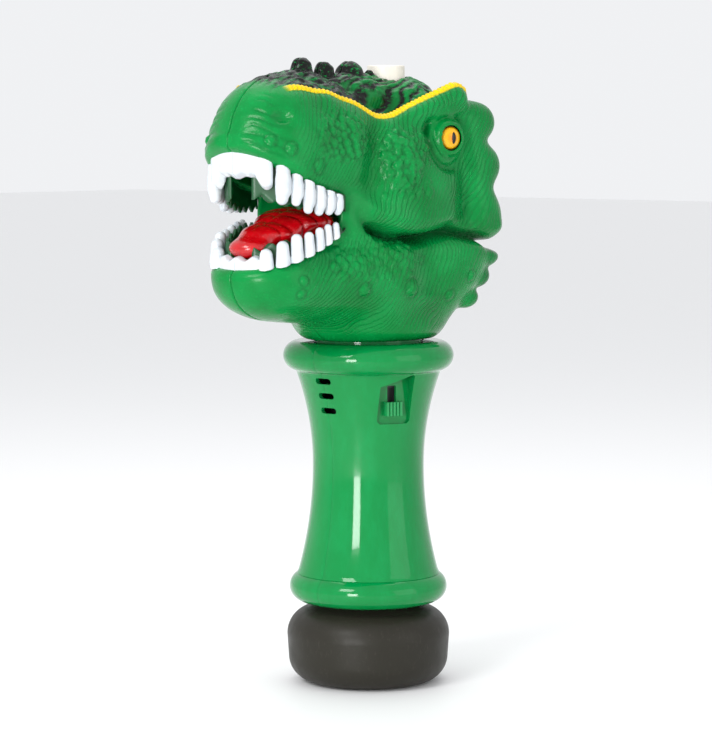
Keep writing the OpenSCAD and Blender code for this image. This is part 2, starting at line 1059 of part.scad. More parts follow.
bottle();
bottle_seal();
bottle_socket();
handle_left();
handle_right();
case_screws();
switch_body();
switch_knob();
battery_carrier();
cells();
contact_springs();
contact_plates();
battery_leads();
battery_door();
door_screw();
circuit_board();
motor_leads();
neck_collar();
head_left();
head_right();
mouth_liner();
upper_teeth_left();
upper_teeth_right();
lower_teeth_left();
lower_teeth_right();
tongue();
eye_left();
eye_right();
throat_lens();
light_board();
throat_light();
pump_housing();
pump_axle();
pump_gear();
pump_rollers();
pump_tube();
suction_tube();
delivery_tube();
mechanism_plate();
motor();
motor_shaft();
pinion();
impeller();
fan_housing();
air_duct();
outlet_nozzle();
bubble_ring();
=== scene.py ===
import json
import math

import bmesh
import bpy
import numpy as np
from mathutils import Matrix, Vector


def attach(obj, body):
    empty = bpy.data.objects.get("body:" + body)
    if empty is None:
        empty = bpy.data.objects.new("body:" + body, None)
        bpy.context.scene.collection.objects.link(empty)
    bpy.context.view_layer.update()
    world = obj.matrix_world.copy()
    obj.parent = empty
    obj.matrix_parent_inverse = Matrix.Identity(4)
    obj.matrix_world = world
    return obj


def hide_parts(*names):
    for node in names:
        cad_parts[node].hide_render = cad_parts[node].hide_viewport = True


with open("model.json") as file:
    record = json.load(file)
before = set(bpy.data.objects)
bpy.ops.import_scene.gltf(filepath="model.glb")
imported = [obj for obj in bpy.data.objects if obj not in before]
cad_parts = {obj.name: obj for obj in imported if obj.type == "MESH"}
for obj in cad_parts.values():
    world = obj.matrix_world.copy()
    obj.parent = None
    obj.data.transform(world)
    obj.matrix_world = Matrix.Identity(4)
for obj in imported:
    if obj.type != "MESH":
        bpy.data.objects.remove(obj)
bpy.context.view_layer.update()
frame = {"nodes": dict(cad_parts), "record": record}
nodes = frame["nodes"]

# The bottle is the black foot: blow-moulded, satin, with a round shoulder that tucks in under
# the handle. Its fine grain comes from the mould, and it is scuffed where it stands.


def linear(rgb):
    return [(v / 255 / 12.92 if v <= 10 else ((v / 255 + 0.055) / 1.055) ** 2.4) for v in rgb] + [1.0]


class Graph:
    """A small hand for wiring a node material; sizes are in millimetres."""

    def __init__(self, name):
        self.mat = bpy.data.materials.new(name)
        self.mat.use_nodes = True
        self.tree = self.mat.node_tree
        self.bsdf = self.tree.nodes["Principled BSDF"]
        self.coord = self.tree.nodes.new("ShaderNodeTexCoord").outputs["Object"]

    def link(self, a, b):
        self.tree.links.new(a, b)

    def node(self, kind, **sockets):
        n = self.tree.nodes.new(kind)
        for key, value in sockets.items():
            n.inputs[key.replace("_", " ")].default_value = value
        return n

    def noise(self, mm, detail=2.0, stretch=(1, 1, 1), rough=0.5):
        m = self.tree.nodes.new("ShaderNodeMapping")
        m.inputs["Scale"].default_value = [s * 1000.0 / mm for s in stretch]
        self.link(self.coord, m.inputs["Vector"])
        n = self.node("ShaderNodeTexNoise", Scale=1.0, Detail=detail, Roughness=rough)
        self.link(m.outputs[0], n.inputs["Vector"])
        return n.outputs["Fac"]

    def ramp(self, value, lo, hi, out_lo=0.0, out_hi=1.0):
        n = self.tree.nodes.new("ShaderNodeMapRange")
        n.inputs["From Min"].default_value = lo
        n.inputs["From Max"].default_value = hi
        n.inputs["To Min"].default_value = out_lo
        n.inputs["To Max"].default_value = out_hi
        self.link(value, n.inputs["Value"])
        return n.outputs[0]

    def math(self, op, a, b=None):
        n = self.tree.nodes.new("ShaderNodeMath")
        n.operation = op
        for i, v in enumerate((a, b)):
            if v is None:
                continue
            if isinstance(v, (int, float)):
                n.inputs[i].default_value = v
            else:
                self.link(v, n.inputs[i])
        return n.outputs[0]

    def mix(self, fac, a, b):
        n = self.tree.nodes.new("ShaderNodeMix")
        n.data_type = "RGBA"
        for socket, v in ((n.inputs[0], fac), (n.inputs[6], a), (n.inputs[7], b)):
            if isinstance(v, (int, float, list)):
                socket.default_value = v
            else:
                self.link(v, socket)
        return n.outputs[2]

    def attribute(self, name):
        n = self.tree.nodes.new("ShaderNodeAttribute")
        n.attribute_name = name
        return n.outputs["Fac"]

    def bump(self, height, mm, strength=1.0, after=None):
        n = self.tree.nodes.new("ShaderNodeBump")
        n.inputs["Strength"].default_value = strength
        n.inputs["Distance"].default_value = mm / 1000.0
        self.link(height, n.inputs["Height"])
        if after is not None:
            self.link(after, n.inputs["Normal"])
        return n.outputs[0]

    def set(self, **sockets):
        for key, v in sockets.items():
            socket = self.bsdf.inputs[key.replace("_", " ")]
            if isinstance(v, (int, float, list)):
                socket.default_value = v
            else:
                self.link(v, socket)
        return self.mat


def plastic(name, rgb, rough, grain_mm=0.6, grain=0.02, wave=0.03, metal=0.0, coat=0.0, dirt=0.1):
    """Moulded plastic or plain metal: colour drift, fine grain, slight sink waves and rub marks."""
    g = Graph(name)
    base = linear(rgb)
    deep = [v * (1.0 - 2.2 * dirt) for v in base[:3]] + [1.0]
    drift = g.ramp(g.noise(19.0, 3.0), 0.3, 0.7)
    g.set(Base_Color=g.mix(drift, deep, base), Metallic=metal, IOR=1.5)
    rub = g.ramp(g.noise(2.6, 4.0, (1, 1, 0.25), 0.65), 0.52, 0.75, rough, rough + 0.14)
    g.set(Roughness=rub, Coat_Weight=coat, Coat_Roughness=0.08)
    big = g.bump(g.noise(14.0, 1.0), wave)
    return g.set(Normal=g.bump(g.noise(grain_mm, 3.0), grain, 1.0, big))


def mesh_piece(name, points_mm, faces, material, smooth=True):
    mesh = bpy.data.meshes.new(name)
    mesh.from_pydata([tuple(float(c) / 1000.0 for c in p) for p in points_mm], [], faces)
    mesh.update()
    mesh.materials.append(material)
    if smooth:
        mesh.polygons.foreach_set("use_smooth", [True] * len(mesh.polygons))
    piece = bpy.data.objects.new(name, mesh)
    bpy.context.scene.collection.objects.link(piece)
    return piece


def turned(name, outline, material, steps=128, arc=360.0, start=0.0):
    """A closed outline of (radius, height) points turned about the Z axis."""
    whole = arc >= 359.9
    rings = steps if whole else steps + 1
    m = len(outline)
    angles = np.radians(start + arc * np.arange(rings) / steps)
    pts = [(r * math.cos(a), r * math.sin(a), z) for a in angles for r, z in outline]
    faces = []
    for i in range(steps):
        j = (i + 1) % rings
        for k in range(m):
            n = (k + 1) % m
            faces.append((i * m + k, j * m + k, j * m + n, i * m + n))
    if not whole:
        faces.append(tuple(range(m)))
        faces.append(tuple((rings - 1) * m + k for k in reversed(range(m))))
    return mesh_piece(name, pts, faces, material)


def only(piece):
    """Makes this the one selected and active object."""
    bpy.ops.object.select_all(action="DESELECT")
    piece.select_set(True)
    bpy.context.view_layer.objects.active = piece


def seal_mesh(piece, gap=1e-7):
    """Merges doubled points and turns every face outwards."""
    b = bmesh.new()
    b.from_mesh(piece.data)
    bmesh.ops.remove_doubles(b, verts=b.verts, dist=gap)
    bmesh.ops.recalc_face_normals(b, faces=b.faces)
    b.to_mesh(piece.data)
    b.free()


def smooth_by_angle(piece, degrees):
    only(piece)
    bpy.ops.object.shade_smooth_by_angle(angle=math.radians(degrees))


def arc_points(cx, cz, r, a0, a1, n):
    return [(cx + r * math.cos(math.radians(a0 + (a1 - a0) * i / n)),
             cz + r * math.sin(math.radians(a0 + (a1 - a0) * i / n))) for i in range(n + 1)]


BODY = {}
for body_name, members in frame["record"]["behaviour"]["bodies"].items():
    for member in members:
        BODY[member] = body_name


def rides(piece, node, slot, *also):
    """The piece stands in for its CAD node and moves with that node's body."""
    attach(piece, BODY[node])
    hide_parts(node, *also)


g = Graph("bottle_black")
scuff = g.ramp(g.noise(1.4, 5.0, (1, 1, 0.4), 0.7), 0.56, 0.74)
g.set(Base_Color=g.mix(scuff, linear((40, 38, 32)), linear((52, 49, 43))), Specular_IOR_Level=0.2)
g.set(Roughness=g.ramp(g.noise(5.0, 4.0), 0.3, 0.7, 0.36, 0.48))
g.set(Normal=g.bump(g.noise(0.45, 2.0), 0.03, 1.0, g.bump(g.noise(16.0, 1.0), 0.08)))
outline = [(10.0, 0.7), (17.0, 0.55), (20.5, 0.0)]
outline += arc_points(21.8, 10.6, 10.6, -88, 0, 20)
outline += arc_points(22.0, 19.4, 11.0, 0, 78, 22)
outline += arc_points(20.2, 31.6, 1.2, 60, 170, 5)
outline += [(16.0, 31.9), (15.8, 32.6), (15.8, 36.6)]
for z in (37.4, 40.6):
    outline += [(15.8, z), (16.35, z + 0.45), (16.4, z + 1.0), (15.8, z + 1.5)]
outline += [(15.8, 45.6), (15.4, 46.0), (14.4, 46.0), (14.0, 45.6), (14.0, 30.2), (19.0, 30.0)]
outline += arc_points(21.8, 20.4, 9.4, 80, 0, 12)
outline += arc_points(21.8, 11.2, 9.4, 0, -88, 12)
outline += [(20.0, 1.9), (10.0, 2.2)]
bottle = turned("bottle_shell", outline, g.mat, 160)
# The turned wall leaves a hole in the middle of the foot; a slightly dished disc closes it.
ring = [(10.0 * math.cos(t), 10.0 * math.sin(t)) for t in np.radians(np.arange(160) * 2.25)]
pts = [(0.0, 0.0, 0.8)] + [(px, py, 0.7) for px, py in ring]
pts += [(0.0, 0.0, 2.3)] + [(px, py, 2.2) for px, py in ring]
faces = [(0, 1 + (i + 1) % 160, 1 + i) for i in range(160)]
faces += [(161, 162 + i, 162 + (i + 1) % 160) for i in range(160)]
plug = mesh_piece("bottle_plug", pts, faces, g.mat)
only(bottle)
plug.select_set(True)
bpy.ops.object.join()
seal_mesh(bottle)
rides(bottle, "bottle", "bottle_black")

# The seal and socket take the bottle's neck inside the handle: soft black ring, white collar.


def dress(material, *names):
    """Shows CAD nodes with this material."""
    for n in names:
        data = nodes[n].data
        data.materials.clear()
        data.materials.append(material)


dress(plastic("seal_rubber", (26, 26, 27), 0.62, 0.4, 0.03), "bottle_seal")
white = plastic("white_plastic", (222, 224, 214), 0.42, 0.5, 0.015, 0.05)
dress(white, "bottle_socket", "pump_housing", "mechanism_plate", "fan_housing",
      "air_duct")

# The handle is two glossy halves moulded in the same green, screwed together from the right.
# They meet on the seam plane in a hairline, so each half's edge is very slightly broken.


def cut(piece, tool, op="DIFFERENCE"):
    m = piece.modifiers.new("cut", "BOOLEAN")
    m.operation = op
    m.solver = "EXACT"
    m.object = tool
    only(piece)
    bpy.ops.object.modifier_apply(modifier=m.name)
    bpy.data.objects.remove(tool)


def prism(outline, lo, hi, place):
    """An outline in (across, up) pushed out from lo to hi; place maps (out, across, up) to x, y, z."""
    n = len(outline)
    pts = [place(d, u, v) for d in (lo, hi) for u, v in outline]
    faces = [tuple(reversed(range(n))), tuple(range(n, 2 * n))]
    faces += [(i, (i + 1) % n, n + (i + 1) % n, n + i) for i in range(n)]
    tool = mesh_piece("tool", pts, faces, green, False)
    seal_mesh(tool)
    return tool


def rounded(w, h, r, cu=0.0, cv=0.0):
    pts = []
    for k, (su, sv) in enumerate(((1, 1), (-1, 1), (-1, -1), (1, -1))):
        pts += arc_points(cu + su * (w / 2 - r), cv + sv * (h / 2 - r), r, 90 * k, 90 * k + 90, 8)
    return pts


def circle(r, cu, cv):
    return [(cu + r * math.cos(t), cv + r * math.sin(t)) for t in np.radians(np.arange(0, 360, 15))]


def grip_r(z):
    """Radius of the waisted grip at height z."""
    if z < 89.0:
        return 22.5 + 5.5 * ((89.0 - z) / 42.0) ** 2
    return 22.5 + 6.5 * ((z - 89.0) / 37.0) ** 2


def broken_edges(piece, points, outer, steps, lip=0.16):
    """Draws in the outer points of the first and last ring, which leaves a hairline at the seam."""
    for ring in (0, steps):
        for k in range(outer):
            v = piece.data.vertices[ring * points + k]
            r = math.hypot(v.co.x, v.co.y)
            if r > 0:
                v.co.x *= 1 - lip / 1000 / r
                v.co.y *= 1 - lip / 1000 / r


green = Graph("handle_green")
fine = green.noise(0.9, 2.0)
haze = green.ramp(green.noise(7.0, 5.0, (1, 1, 0.35), 0.7), 0.45, 0.8)
green.set(Base_Color=green.mix(haze, linear((0, 124, 58)), linear((5, 134, 68))), IOR=1.5)
green.set(Roughness=green.ramp(green.noise(1.8, 5.0, (1, 1, 0.2), 0.7), 0.55, 0.8, 0.1, 0.2))
green.set(Coat_Weight=0.35, Coat_Roughness=0.04, Specular_IOR_Level=0.14)
green.set(Subsurface_Weight=0.06, Subsurface_Radius=[0.3, 1.0, 0.4], Subsurface_Scale=0.002)
green.set(Normal=green.bump(fine, 0.006, 1.0, green.bump(green.noise(18.0, 1.0), 0.22)))
green = green.mat
outline = arc_points(26.0, 39.0, 6.0, -90, 62, 26)
for z in np.linspace(44.5, 126.6, 84):
    outline.append((grip_r(z) + 0.35 * max(0, 1 - (z - 44.4) / 1.2), z))
outline += [(grip_r(126.9) + 0.2, 126.95)]
outline += arc_points(28.5, 133.0, 6.0, -76, 90, 28)
outline_outer = len(outline)
outline += [(22.6, 139.0), (21.9, 138.4), (21.9, 134.0)]
outline += [(grip_r(min(z, 134)) - 2.0, z) for z in np.linspace(133.5, 36.6, 60)]
outline += [(24.0, 36.0), (17.5, 36.0), (17.0, 35.5), (17.0, 33.4), (17.4, 33.0)]
TURN = math.radians(65 - 90)


def switch_place(d, u, v):
    c, s = math.cos(TURN), math.sin(TURN)
    return (d * c - u * s, d * s + u * c, v)


def front_place(d, u, v):
    return (u, -d, v)


def back_place(d, u, v):
    return (u, d, v)


for side in (1, -1):
    name = "handle_left" if side > 0 else "handle_right"
    start = -89.93 if side > 0 else 90.07
    half = turned(name + "_shell", outline, green, 96, 179.86, start)
    broken_edges(half, len(outline), outline_outer, 96)
    if side > 0:
        # The switch pocket: a flat-floored cup let into the wall, its roof sloping out.
        box = [(-8.9, 105.5), (8.9, 105.5), (8.9, 128.0), (-8.9, 128.0)]
        cup = prism(box, 20.2, 31.0, switch_place)
        solid = turned("tool", outline[:outline_outer] + [(0.5, 139.0), (0.5, 33.0)], green, 96)
        cut(cup, solid, "INTERSECT")
        cut(half, cup, "UNION")
        pocket = [(-6.0, 107.0), (6.0, 107.0), (7.2, 108.2), (7.2, 126.2), (6.2, 126.8),
                  (-7.2, 122.2), (-7.2, 108.2)]
        cut(half, prism(pocket, 21.7, 40.0, switch_place))
        cut(half, prism(rounded(3.8, 11.5, 0.6, 0.0, 116.4), 12.0, 30.0, switch_place))
    for k in range(3):
        cut(half, prism(rounded(7.8, 2.4, 1.19, 0.0, 112.0 + 6 * k), 20.0, 40.0, front_place))
    cut(half, prism(rounded(26.6, 55.6, 1.5, 0.0, 87.5), 5.0, 40.0, back_place))
    if side < 0:
        for y, z in ((21.2, 54.0), (20.5, 121.0)):
            well = circle(2.6, y, z)
            cut(half, prism(well, 10.0, 40.0, lambda d, u, v: (-d, u, v)))
    half.data.materials.clear()
    half.data.materials.append(green)
    smooth_by_angle(half, 32)
    rides(half, name, "handle_green")

# Each screw well on the right has a moulded tube behind it, which the screw pulls against.
steel = plastic("steel", (168, 170, 173), 0.3, 0.3, 0.01, 0.0, 1.0)
dress(steel, "case_screws", "door_screw", "contact_springs", "motor_shaft", "pump_axle")

# The battery door is cut from the same curve as the grip and is held by one captive screw.
door = turned("battery_door_panel", outline, green, 128)
cut(door, prism(rounded(26.0, 55.0, 1.3, 0.0, 87.5), 5.0, 40.0, back_place), "INTERSECT")
cut(door, prism(circle(1.3, 0.0, 112.2), 10.0, 40.0, back_place))
cut(door, prism(circle(2.4, 0.0, 112.2), 23.6, 40.0, back_place))
# Five short grooves for the thumb, each narrower than the one below.
for k in range(5):
    height = 66.0 + 2.2 * k
    groove = rounded(11.0 - 1.2 * k, 0.9, 0.44, 0.0, height)
    cut(door, prism(groove, grip_r(height) - 1.0, 40.0, back_place))
door.data.materials.clear()
door.data.materials.append(green)
smooth_by_angle(door, 32)
rides(door, "battery_door", "handle_green")
dress(green, "neck_collar")

# The slide knob is a separate satin moulding in lighter green with five pulling ribs. It moves in
# the pocket floor's slot and pushes the small black switch behind it.
knob_green = plastic("knob_green", (10, 136, 70), 0.34, 0.4, 0.01, 0.02)
dress(knob_green, "switch_knob")
bevel = nodes["switch_knob"].modifiers.new("edge", "BEVEL")
bevel.width = 0.00022
bevel.segments = 2
black = plastic("black_plastic", (34, 34, 37), 0.45, 0.5, 0.02)
dress(black, "switch_body", "battery_carrier")

# Three cells stand behind the door on steel springs and brass plates, with red leads to the board.
jacket = Graph("cell_jacket")
band = jacket.ramp(jacket.noise(30.0, 0.0), 0.45, 0.55)
jacket.set(Base_Color=jacket.mix(band, linear((52, 56, 64)), linear((92, 96, 104))))
jacket.set(Roughness=jacket.ramp(jacket.noise(3.0, 4.0), 0.4, 0.7, 0.2, 0.36), Metallic=0.3)
dress(jacket.mat, "cells")
dress(plastic("brass", (196, 160, 88), 0.32, 0.3, 0.01, 0.0, 1.0), "contact_plates", "pinion")
dress(plastic("red_lead", (150, 24, 22), 0.5, 0.3, 0.01), "battery_leads", "motor_leads")
dress(plastic("board_green", (22, 92, 54), 0.35, 0.5, 0.02), "circuit_board", "light_board")

# The pump, its clear tubes, the motor and the fan hang on one white plate inside the head.
gear_white = plastic("gear_white", (226, 222, 206), 0.36, 0.3, 0.01)
dress(gear_white, "pump_gear", "pump_rollers", "impeller")
tube = plastic("tube_clear", (206, 214, 210), 0.25, 0.5, 0.01)
tube.node_tree.nodes["Principled BSDF"].inputs["Transmission Weight"].default_value = 0.5
dress(tube, "pump_tube", "suction_tube", "delivery_tube")
dress(plastic("motor_can", (176, 178, 180), 0.28, 0.4, 0.01, 0.02, 1.0), "motor")
dress(plastic("ring_mint", (150, 206, 192), 0.3, 0.4, 0.01), "bubble_ring")

# The head is a pair of hollow sculpted mouldings in glossy green, joined down the middle. The forms
# are modelled as soft solids in millimetres and skinned; the left half is made, the right mirrored.


def ball(p, c, r):
    """Distance to a stretched ball."""
    q = [(p[i] - c[i]) / r[i] for i in range(3)]
    k0 = np.sqrt(q[0] ** 2 + q[1] ** 2 + q[2] ** 2) + 1e-6
    k1 = np.sqrt((q[0] / r[0]) ** 2 + (q[1] / r[1]) ** 2 + (q[2] / r[2]) ** 2) + 1e-6
    return k0 * (k0 - 1.0) / k1


def rod(p, a, b, ra, rb):
    """Distance to a tapering round rod from a to b."""
    d = [b[i] - a[i] for i in range(3)]
    length = sum(v * v for v in d)
    t = np.clip(sum((p[i] - a[i]) * d[i] for i in range(3)) / length, 0, 1)
    gap = np.sqrt(sum((p[i] - a[i] - t * d[i]) ** 2 for i in range(3)))
    return gap - (ra + (rb - ra) * t)


def join(a, b, k):
    h = np.clip(0.5 + 0.5 * (b - a) / k, 0, 1)
    return b + (a - b) * h - k * h * (1 - h)


def carve(a, b, k):
    return -join(-a, b, k)


def step01(v, lo, hi):
    t = np.clip((v - lo) / (hi - lo), 0, 1)
    return t * t * (3 - 2 * t)


def value_noise(x, y, z, mm, seed=0):
    """Smooth lattice noise from -1 to 1 with cells of mm."""
    g3 = [v / mm + 100.0 for v in (x, y, z)]
    base = [np.floor(v).astype(np.int64) for v in g3]
    frac = [v - b0 for v, b0 in zip(g3, base)]
    frac = [f * f * (3 - 2 * f) for f in frac]
    total = 0.0
    for corner in range(8):
        o = [(corner >> i) & 1 for i in range(3)]
        n = (base[0] + o[0]) * 374761393 + (base[1] + o[1]) * 668265263
        n = n + (base[2] + o[2]) * 2147483647
        n = (n + seed * 974634777) & 0xFFFFFFFF
        n = ((n ^ (n >> 13)) * 1274126177) & 0xFFFFFFFF
        n = ((n ^ (n >> 16)) & 0xFFFF) / 32767.5 - 1.0
        w = 1.0
        for i in range(3):
            w = w * (frac[i] if o[i] else 1 - frac[i])
        total = total + n * w
    return total


def skin(field, lo, step):
    """Surface nets: points (mm) and quads of the zero surface of a sampled field."""
    inside = field < 0
    cell = [slice(0, -1), slice(1, None)]
    count = sum(inside[cell[a], cell[b], cell[c]].astype(np.int8)
                for a in (0, 1) for b in (0, 1) for c in (0, 1))
    mixed = (count > 0) & (count < 8)
    idx = np.full(mixed.shape, -1, np.int64)
    where = np.argwhere(mixed)
    idx[mixed] = np.arange(len(where))
    corner = {}
    for a in (0, 1):
        for b in (0, 1):
            for c in (0, 1):
                corner[a, b, c] = field[where[:, 0] + a, where[:, 1] + b, where[:, 2] + c]
    total = np.zeros((len(where), 3))
    hits = np.zeros(len(where))
    for axis in range(3):
        for u in (0, 1):
            for v in (0, 1):
                k0, k1 = [u, v], [u, v]
                k0.insert(axis, 0)
                k1.insert(axis, 1)
                f0, f1 = corner[tuple(k0)], corner[tuple(k1)]
                cross = (f0 < 0) != (f1 < 0)
                t = np.where(cross, f0 / np.where(cross, f0 - f1, 1.0), 0.0)
                point = np.tile(np.array(k0, float), (len(where), 1))
                point[:, axis] = t
                total += point * cross[:, None]
                hits += cross
    pts = (where + total / hits[:, None]) * step + np.array(lo)
    quads = []
    for axis in range(3):
        a = [slice(None)] * 3
        a[axis] = slice(0, -1)
        b = [slice(None)] * 3
        b[axis] = slice(1, None)
        f0, f1 = inside[tuple(a)], inside[tuple(b)]
        edge = np.argwhere(f0 != f1)
        o1, o2 = [k for k in range(3) if k != axis]
        ok = (edge[:, o1] > 0) & (edge[:, o2] > 0)
        ok &= (edge[:, o1] < mixed.shape[o1]) & (edge[:, o2] < mixed.shape[o2])
        edge = edge[ok]
        ring = []
        for d1, d2 in ((-1, -1), (0, -1), (0, 0), (-1, 0)):
            e = edge.copy()
            e[:, o1] += d1
            e[:, o2] += d2
            ring.append(idx[e[:, 0], e[:, 1], e[:, 2]])
        q = np.stack(ring, 1)
        flip = f0[edge[:, 0], edge[:, 1], edge[:, 2]] ^ (axis == 1)
        q[~flip] = q[~flip][:, ::-1]
        quads.append(q)
    return pts, np.concatenate(quads)


def relax(pts, quads, rounds, amount=0.5, hold=None):
    """Evens the skin out without moving held points."""
    edges = np.concatenate([quads[:, [i, (i + 1) % 4]] for i in range(4)])
    deg = np.bincount(edges.ravel(), minlength=len(pts)).astype(float)[:, None]
    for _ in range(rounds):
        acc = np.zeros_like(pts)
        for i in range(3):
            acc[:, i] = (np.bincount(edges[:, 0], pts[edges[:, 1], i], len(pts))
                         + np.bincount(edges[:, 1], pts[edges[:, 0], i], len(pts)))
        new = pts + amount * (acc / deg - pts)
        pts = new if hold is None else np.where(hold[:, None], pts, new)
    return pts


def grid(lo, hi, step):
    axes = [np.arange(a, b + step, step, dtype=np.float32) for a, b in zip(lo, hi)]
    return np.meshgrid(*axes, indexing="ij")


def gradient(f, p, e=0.25):
    out = []
    for i in range(3):
        a, b = list(p), list(p)
        a[i] = p[i] + e
        b[i] = p[i] - e
        out.append((f(a) - f(b)) / (2 * e))
    n = np.stack(out, -1)
    return n / (np.linalg.norm(n, axis=-1, keepdims=True) + 1e-9)


def upper_lip(y):
    back = -46.0 - y
    return 197.9 + 0.25 * back + 0.0068 * back * np.abs(back)


def lower_lip(y):
    ahead = np.maximum(y + 82.0, 0)
    return 170.0 + 0.2 * ahead + 0.0055 * ahead * ahead


def fold_z(y):
    """Height of the fold between the cheek and the jaw."""
    swell = 2.2 * np.exp(-((y - 10) / 9) ** 2)
    return 181 + 8.5 * (1 - step01(y, -42, -16)) + swell - 4 * step01(y, 24, 40)


EYE = (29.0, 12.6, 220.4)
EYE_WAY = (0.927, -0.375)


def eye_place(p):
    """Distance out along the eye's axis, and distance from that axis."""
    dx, dy, dz = p[0] - EYE[0], p[1] - EYE[1], p[2] - EYE[2]
    out = dx * EYE_WAY[0] + dy * EYE_WAY[1]
    across = dy * EYE_WAY[0] - dx * EYE_WAY[1]
    return out, np.sqrt(across ** 2 + (dz * 0.94) ** 2 + 1e-6)


# The four round bumps along the middle of the crown: place, radius and top height.
CROWN_BUMPS = ((-41, 4.5, 251.9), (-27.5, 4.2, 250.6), (-12, 6.0, 251.0), (0.5, 2.2, 247.8))


def head_form(p):
    """The outer form without its mouth, neck or eye openings."""
    x, y, z = np.abs(p[0]), p[1], p[2]
    q = (x, y, z)
    snout = ball(q, (0, -57, 217.5), (25.0, 26.3, 27))
    snout = join(snout, ball(q, (0, -37, 214.5), (27.5, 27, 27)), 6)
    snout = join(snout, ball(q, (0, -12, 207), (32, 23, 24)), 8)
    snout = join(snout, rod(q, (10.5, -63, 231.8), (15.2, -47, 231.6), 4.4, 4.6), 5)
    snout = join(snout, rod(q, (15.2, -47, 231.6), (21.5, -18, 222.4), 4.6, 4.8), 5)
    skull = ball(q, (0, 8, 203), (34, 30, 31))
    skull = join(skull, ball(q, (0, 15, 210), (28, 27.5, 33)), 6)
    skull = join(skull, ball(q, (20, -5, 211), (14, 22, 17)), 5)
    skull = join(skull, ball(q, (19.5, -3, 194), (16.5, 27, 15.5)), 6)
    skull = join(skull, rod(q, (21.5, -18, 222.4), (27.4, 19, 235.2), 4.8, 6.6), 3.5)
    skull = join(skull, rod(q, (25.0, 28.5, 227), (28.0, 33.0, 191), 8.6, 9.2), 4)
    skull = join(skull, ball(q, (26.5, 34.5, 226.5), (8.4, 9.0, 8.4)), 3)
    skull = join(skull, ball(q, (28.0, 35.2, 209), (8.8, 9.8, 9.6)), 3)
    skull = join(skull, ball(q, (28.2, 35.2, 189.5), (9.2, 10.0, 10.4)), 3)
    crown = join(ball(q, (0, -44, 235.4), (11, 22, 11.5)), ball(q, (0, -12, 234.5), (12, 26, 12)), 5)
    crown = join(crown, ball(q, (0, 14, 233), (18, 20, 12.8)), 5)
    upper = join(join(snout, skull, 4), crown, 4)
    jaw = ball(q, (0, -57, 165.5), (23.8, 25.0, 16.0))
    jaw = join(jaw, ball(q, (0, -36, 166.5), (28.0, 25, 18.5)), 8)
    jaw = join(jaw, ball(q, (0, -14, 167.5), (33, 28, 26.5)), 9)
    jaw = join(jaw, ball(q, (0, 16, 170.5), (36, 27, 30.5)), 9)
    jaw = join(jaw, ball(q, (20, 25, 173), (16.5, 16, 17)), 5)
    tips = ((28.6, 36.0, 173.5, 6.8), (27.0, 34.4, 164.5, 6.2), (24.8, 30.6, 156.0, 5.8))
    for cx, cy, cz, r in tips:
        jaw = join(jaw, ball(q, (cx, cy, cz), (r, r * 1.1, r * 0.8)), 1.8)
    rim = np.maximum(np.sqrt(x * x + y * y) - 23.5, 0)
    neck = np.sqrt(rim ** 2 + np.maximum(146.0 - z, 0) ** 2) - 6.0
    neck = np.maximum(neck, z - 156.0)
    jaw = join(jaw, neck, 8)
    # A web of skin closes the corner of the mouth between the two jaws.
    web = ball(q, (14.0, -31.5, 190.5), (12.4, 14.3, 17.0))
    form = join(join(upper, jaw, 3.0), web, 4.0)
    lip_part = step01(-y, 44, 52)
    form = form - lip_part * 1.5 * np.exp(-((z - upper_lip(y) - 2.5) / 3.6) ** 2)
    form = form - lip_part * 0.7 * np.exp(-((z - lower_lip(y) + 2.5) / 3.0) ** 2)
    # The cheek swells over a soft deep fold that runs back above the jaw; behind the lips it
    # opens into a smooth hollow.
    fold = z - fold_z(y)
    along = step01(y, -37, -27)
    form = form - along * 1.7 * np.exp(-((fold - 6.2) / 4.2) ** 2)
    form = form - along * 1.0 * np.exp(-((fold + 5.5) / 4.0) ** 2)
    form = form + along * 4.4 * np.exp(-(np.where(fold > 0, fold / 1.5, fold / 2.3)) ** 2)
    form = carve(form, ball(q, (31.8, -37.2, 191.2), (6.6, 8.2, 8.8)), 2.0)
    form = form + 2.0 * np.exp(-((y + 28) / 6) ** 2 - ((z - 213) / 11) ** 2) * step01(x, 18, 24)
    # A moat, then the swollen lids, with the round opening for the eye in them.
    out, rho = eye_place(q)
    moat = np.exp(-((rho - 11.2) / 1.7) ** 2)
    form = form + 2.6 * moat * step01(out, -2, 2) * step01(-z, -230, -226)
    lids = ball(q, (EYE[0] - 0.4, EYE[1], EYE[2] - 0.3), (7.9, 9.3, 9.4))
    form = join(form, lids, 1.2)
    form = form + 0.8 * np.exp(-((rho - 7.4) / 0.75) ** 2) * step01(out, 0, 2)
    form = carve(form, ball(q, (18.4, -73.0, 229.0), (3.6, 4.4, 2.8)), 2.4)
    for cy, r, top in CROWN_BUMPS:
        form = join(form, ball(q, (0, cy, top - r * 1.1), (r, r, r * 1.1)), 0.7)
    return np.maximum(form, 139.9 - z)


def mouth_void(p):
    """The open space of the mouth: between the lips, and the hollow palate, floor and throat."""
    x, y, z = np.abs(p[0]), p[1], p[2]
    q = (x, y, z)
    lips = np.maximum((z - upper_lip(y)) * 0.88, (lower_lip(y) - z) * 0.94)
    lips = -join(-lips, -(y + 44.5), 3.0)
    palate = ball(q, (0, -56, 210), (19.0, 21.5, 12))
    inner = join(palate, ball(q, (0, -56, 177), (18.0, 21.5, 6.5)), 4)
    inner = join(inner, ball(q, (0, -45, 190.5), (21.5, 12.8, 10.5)), 6)
    return join(lips, inner, 1.5)


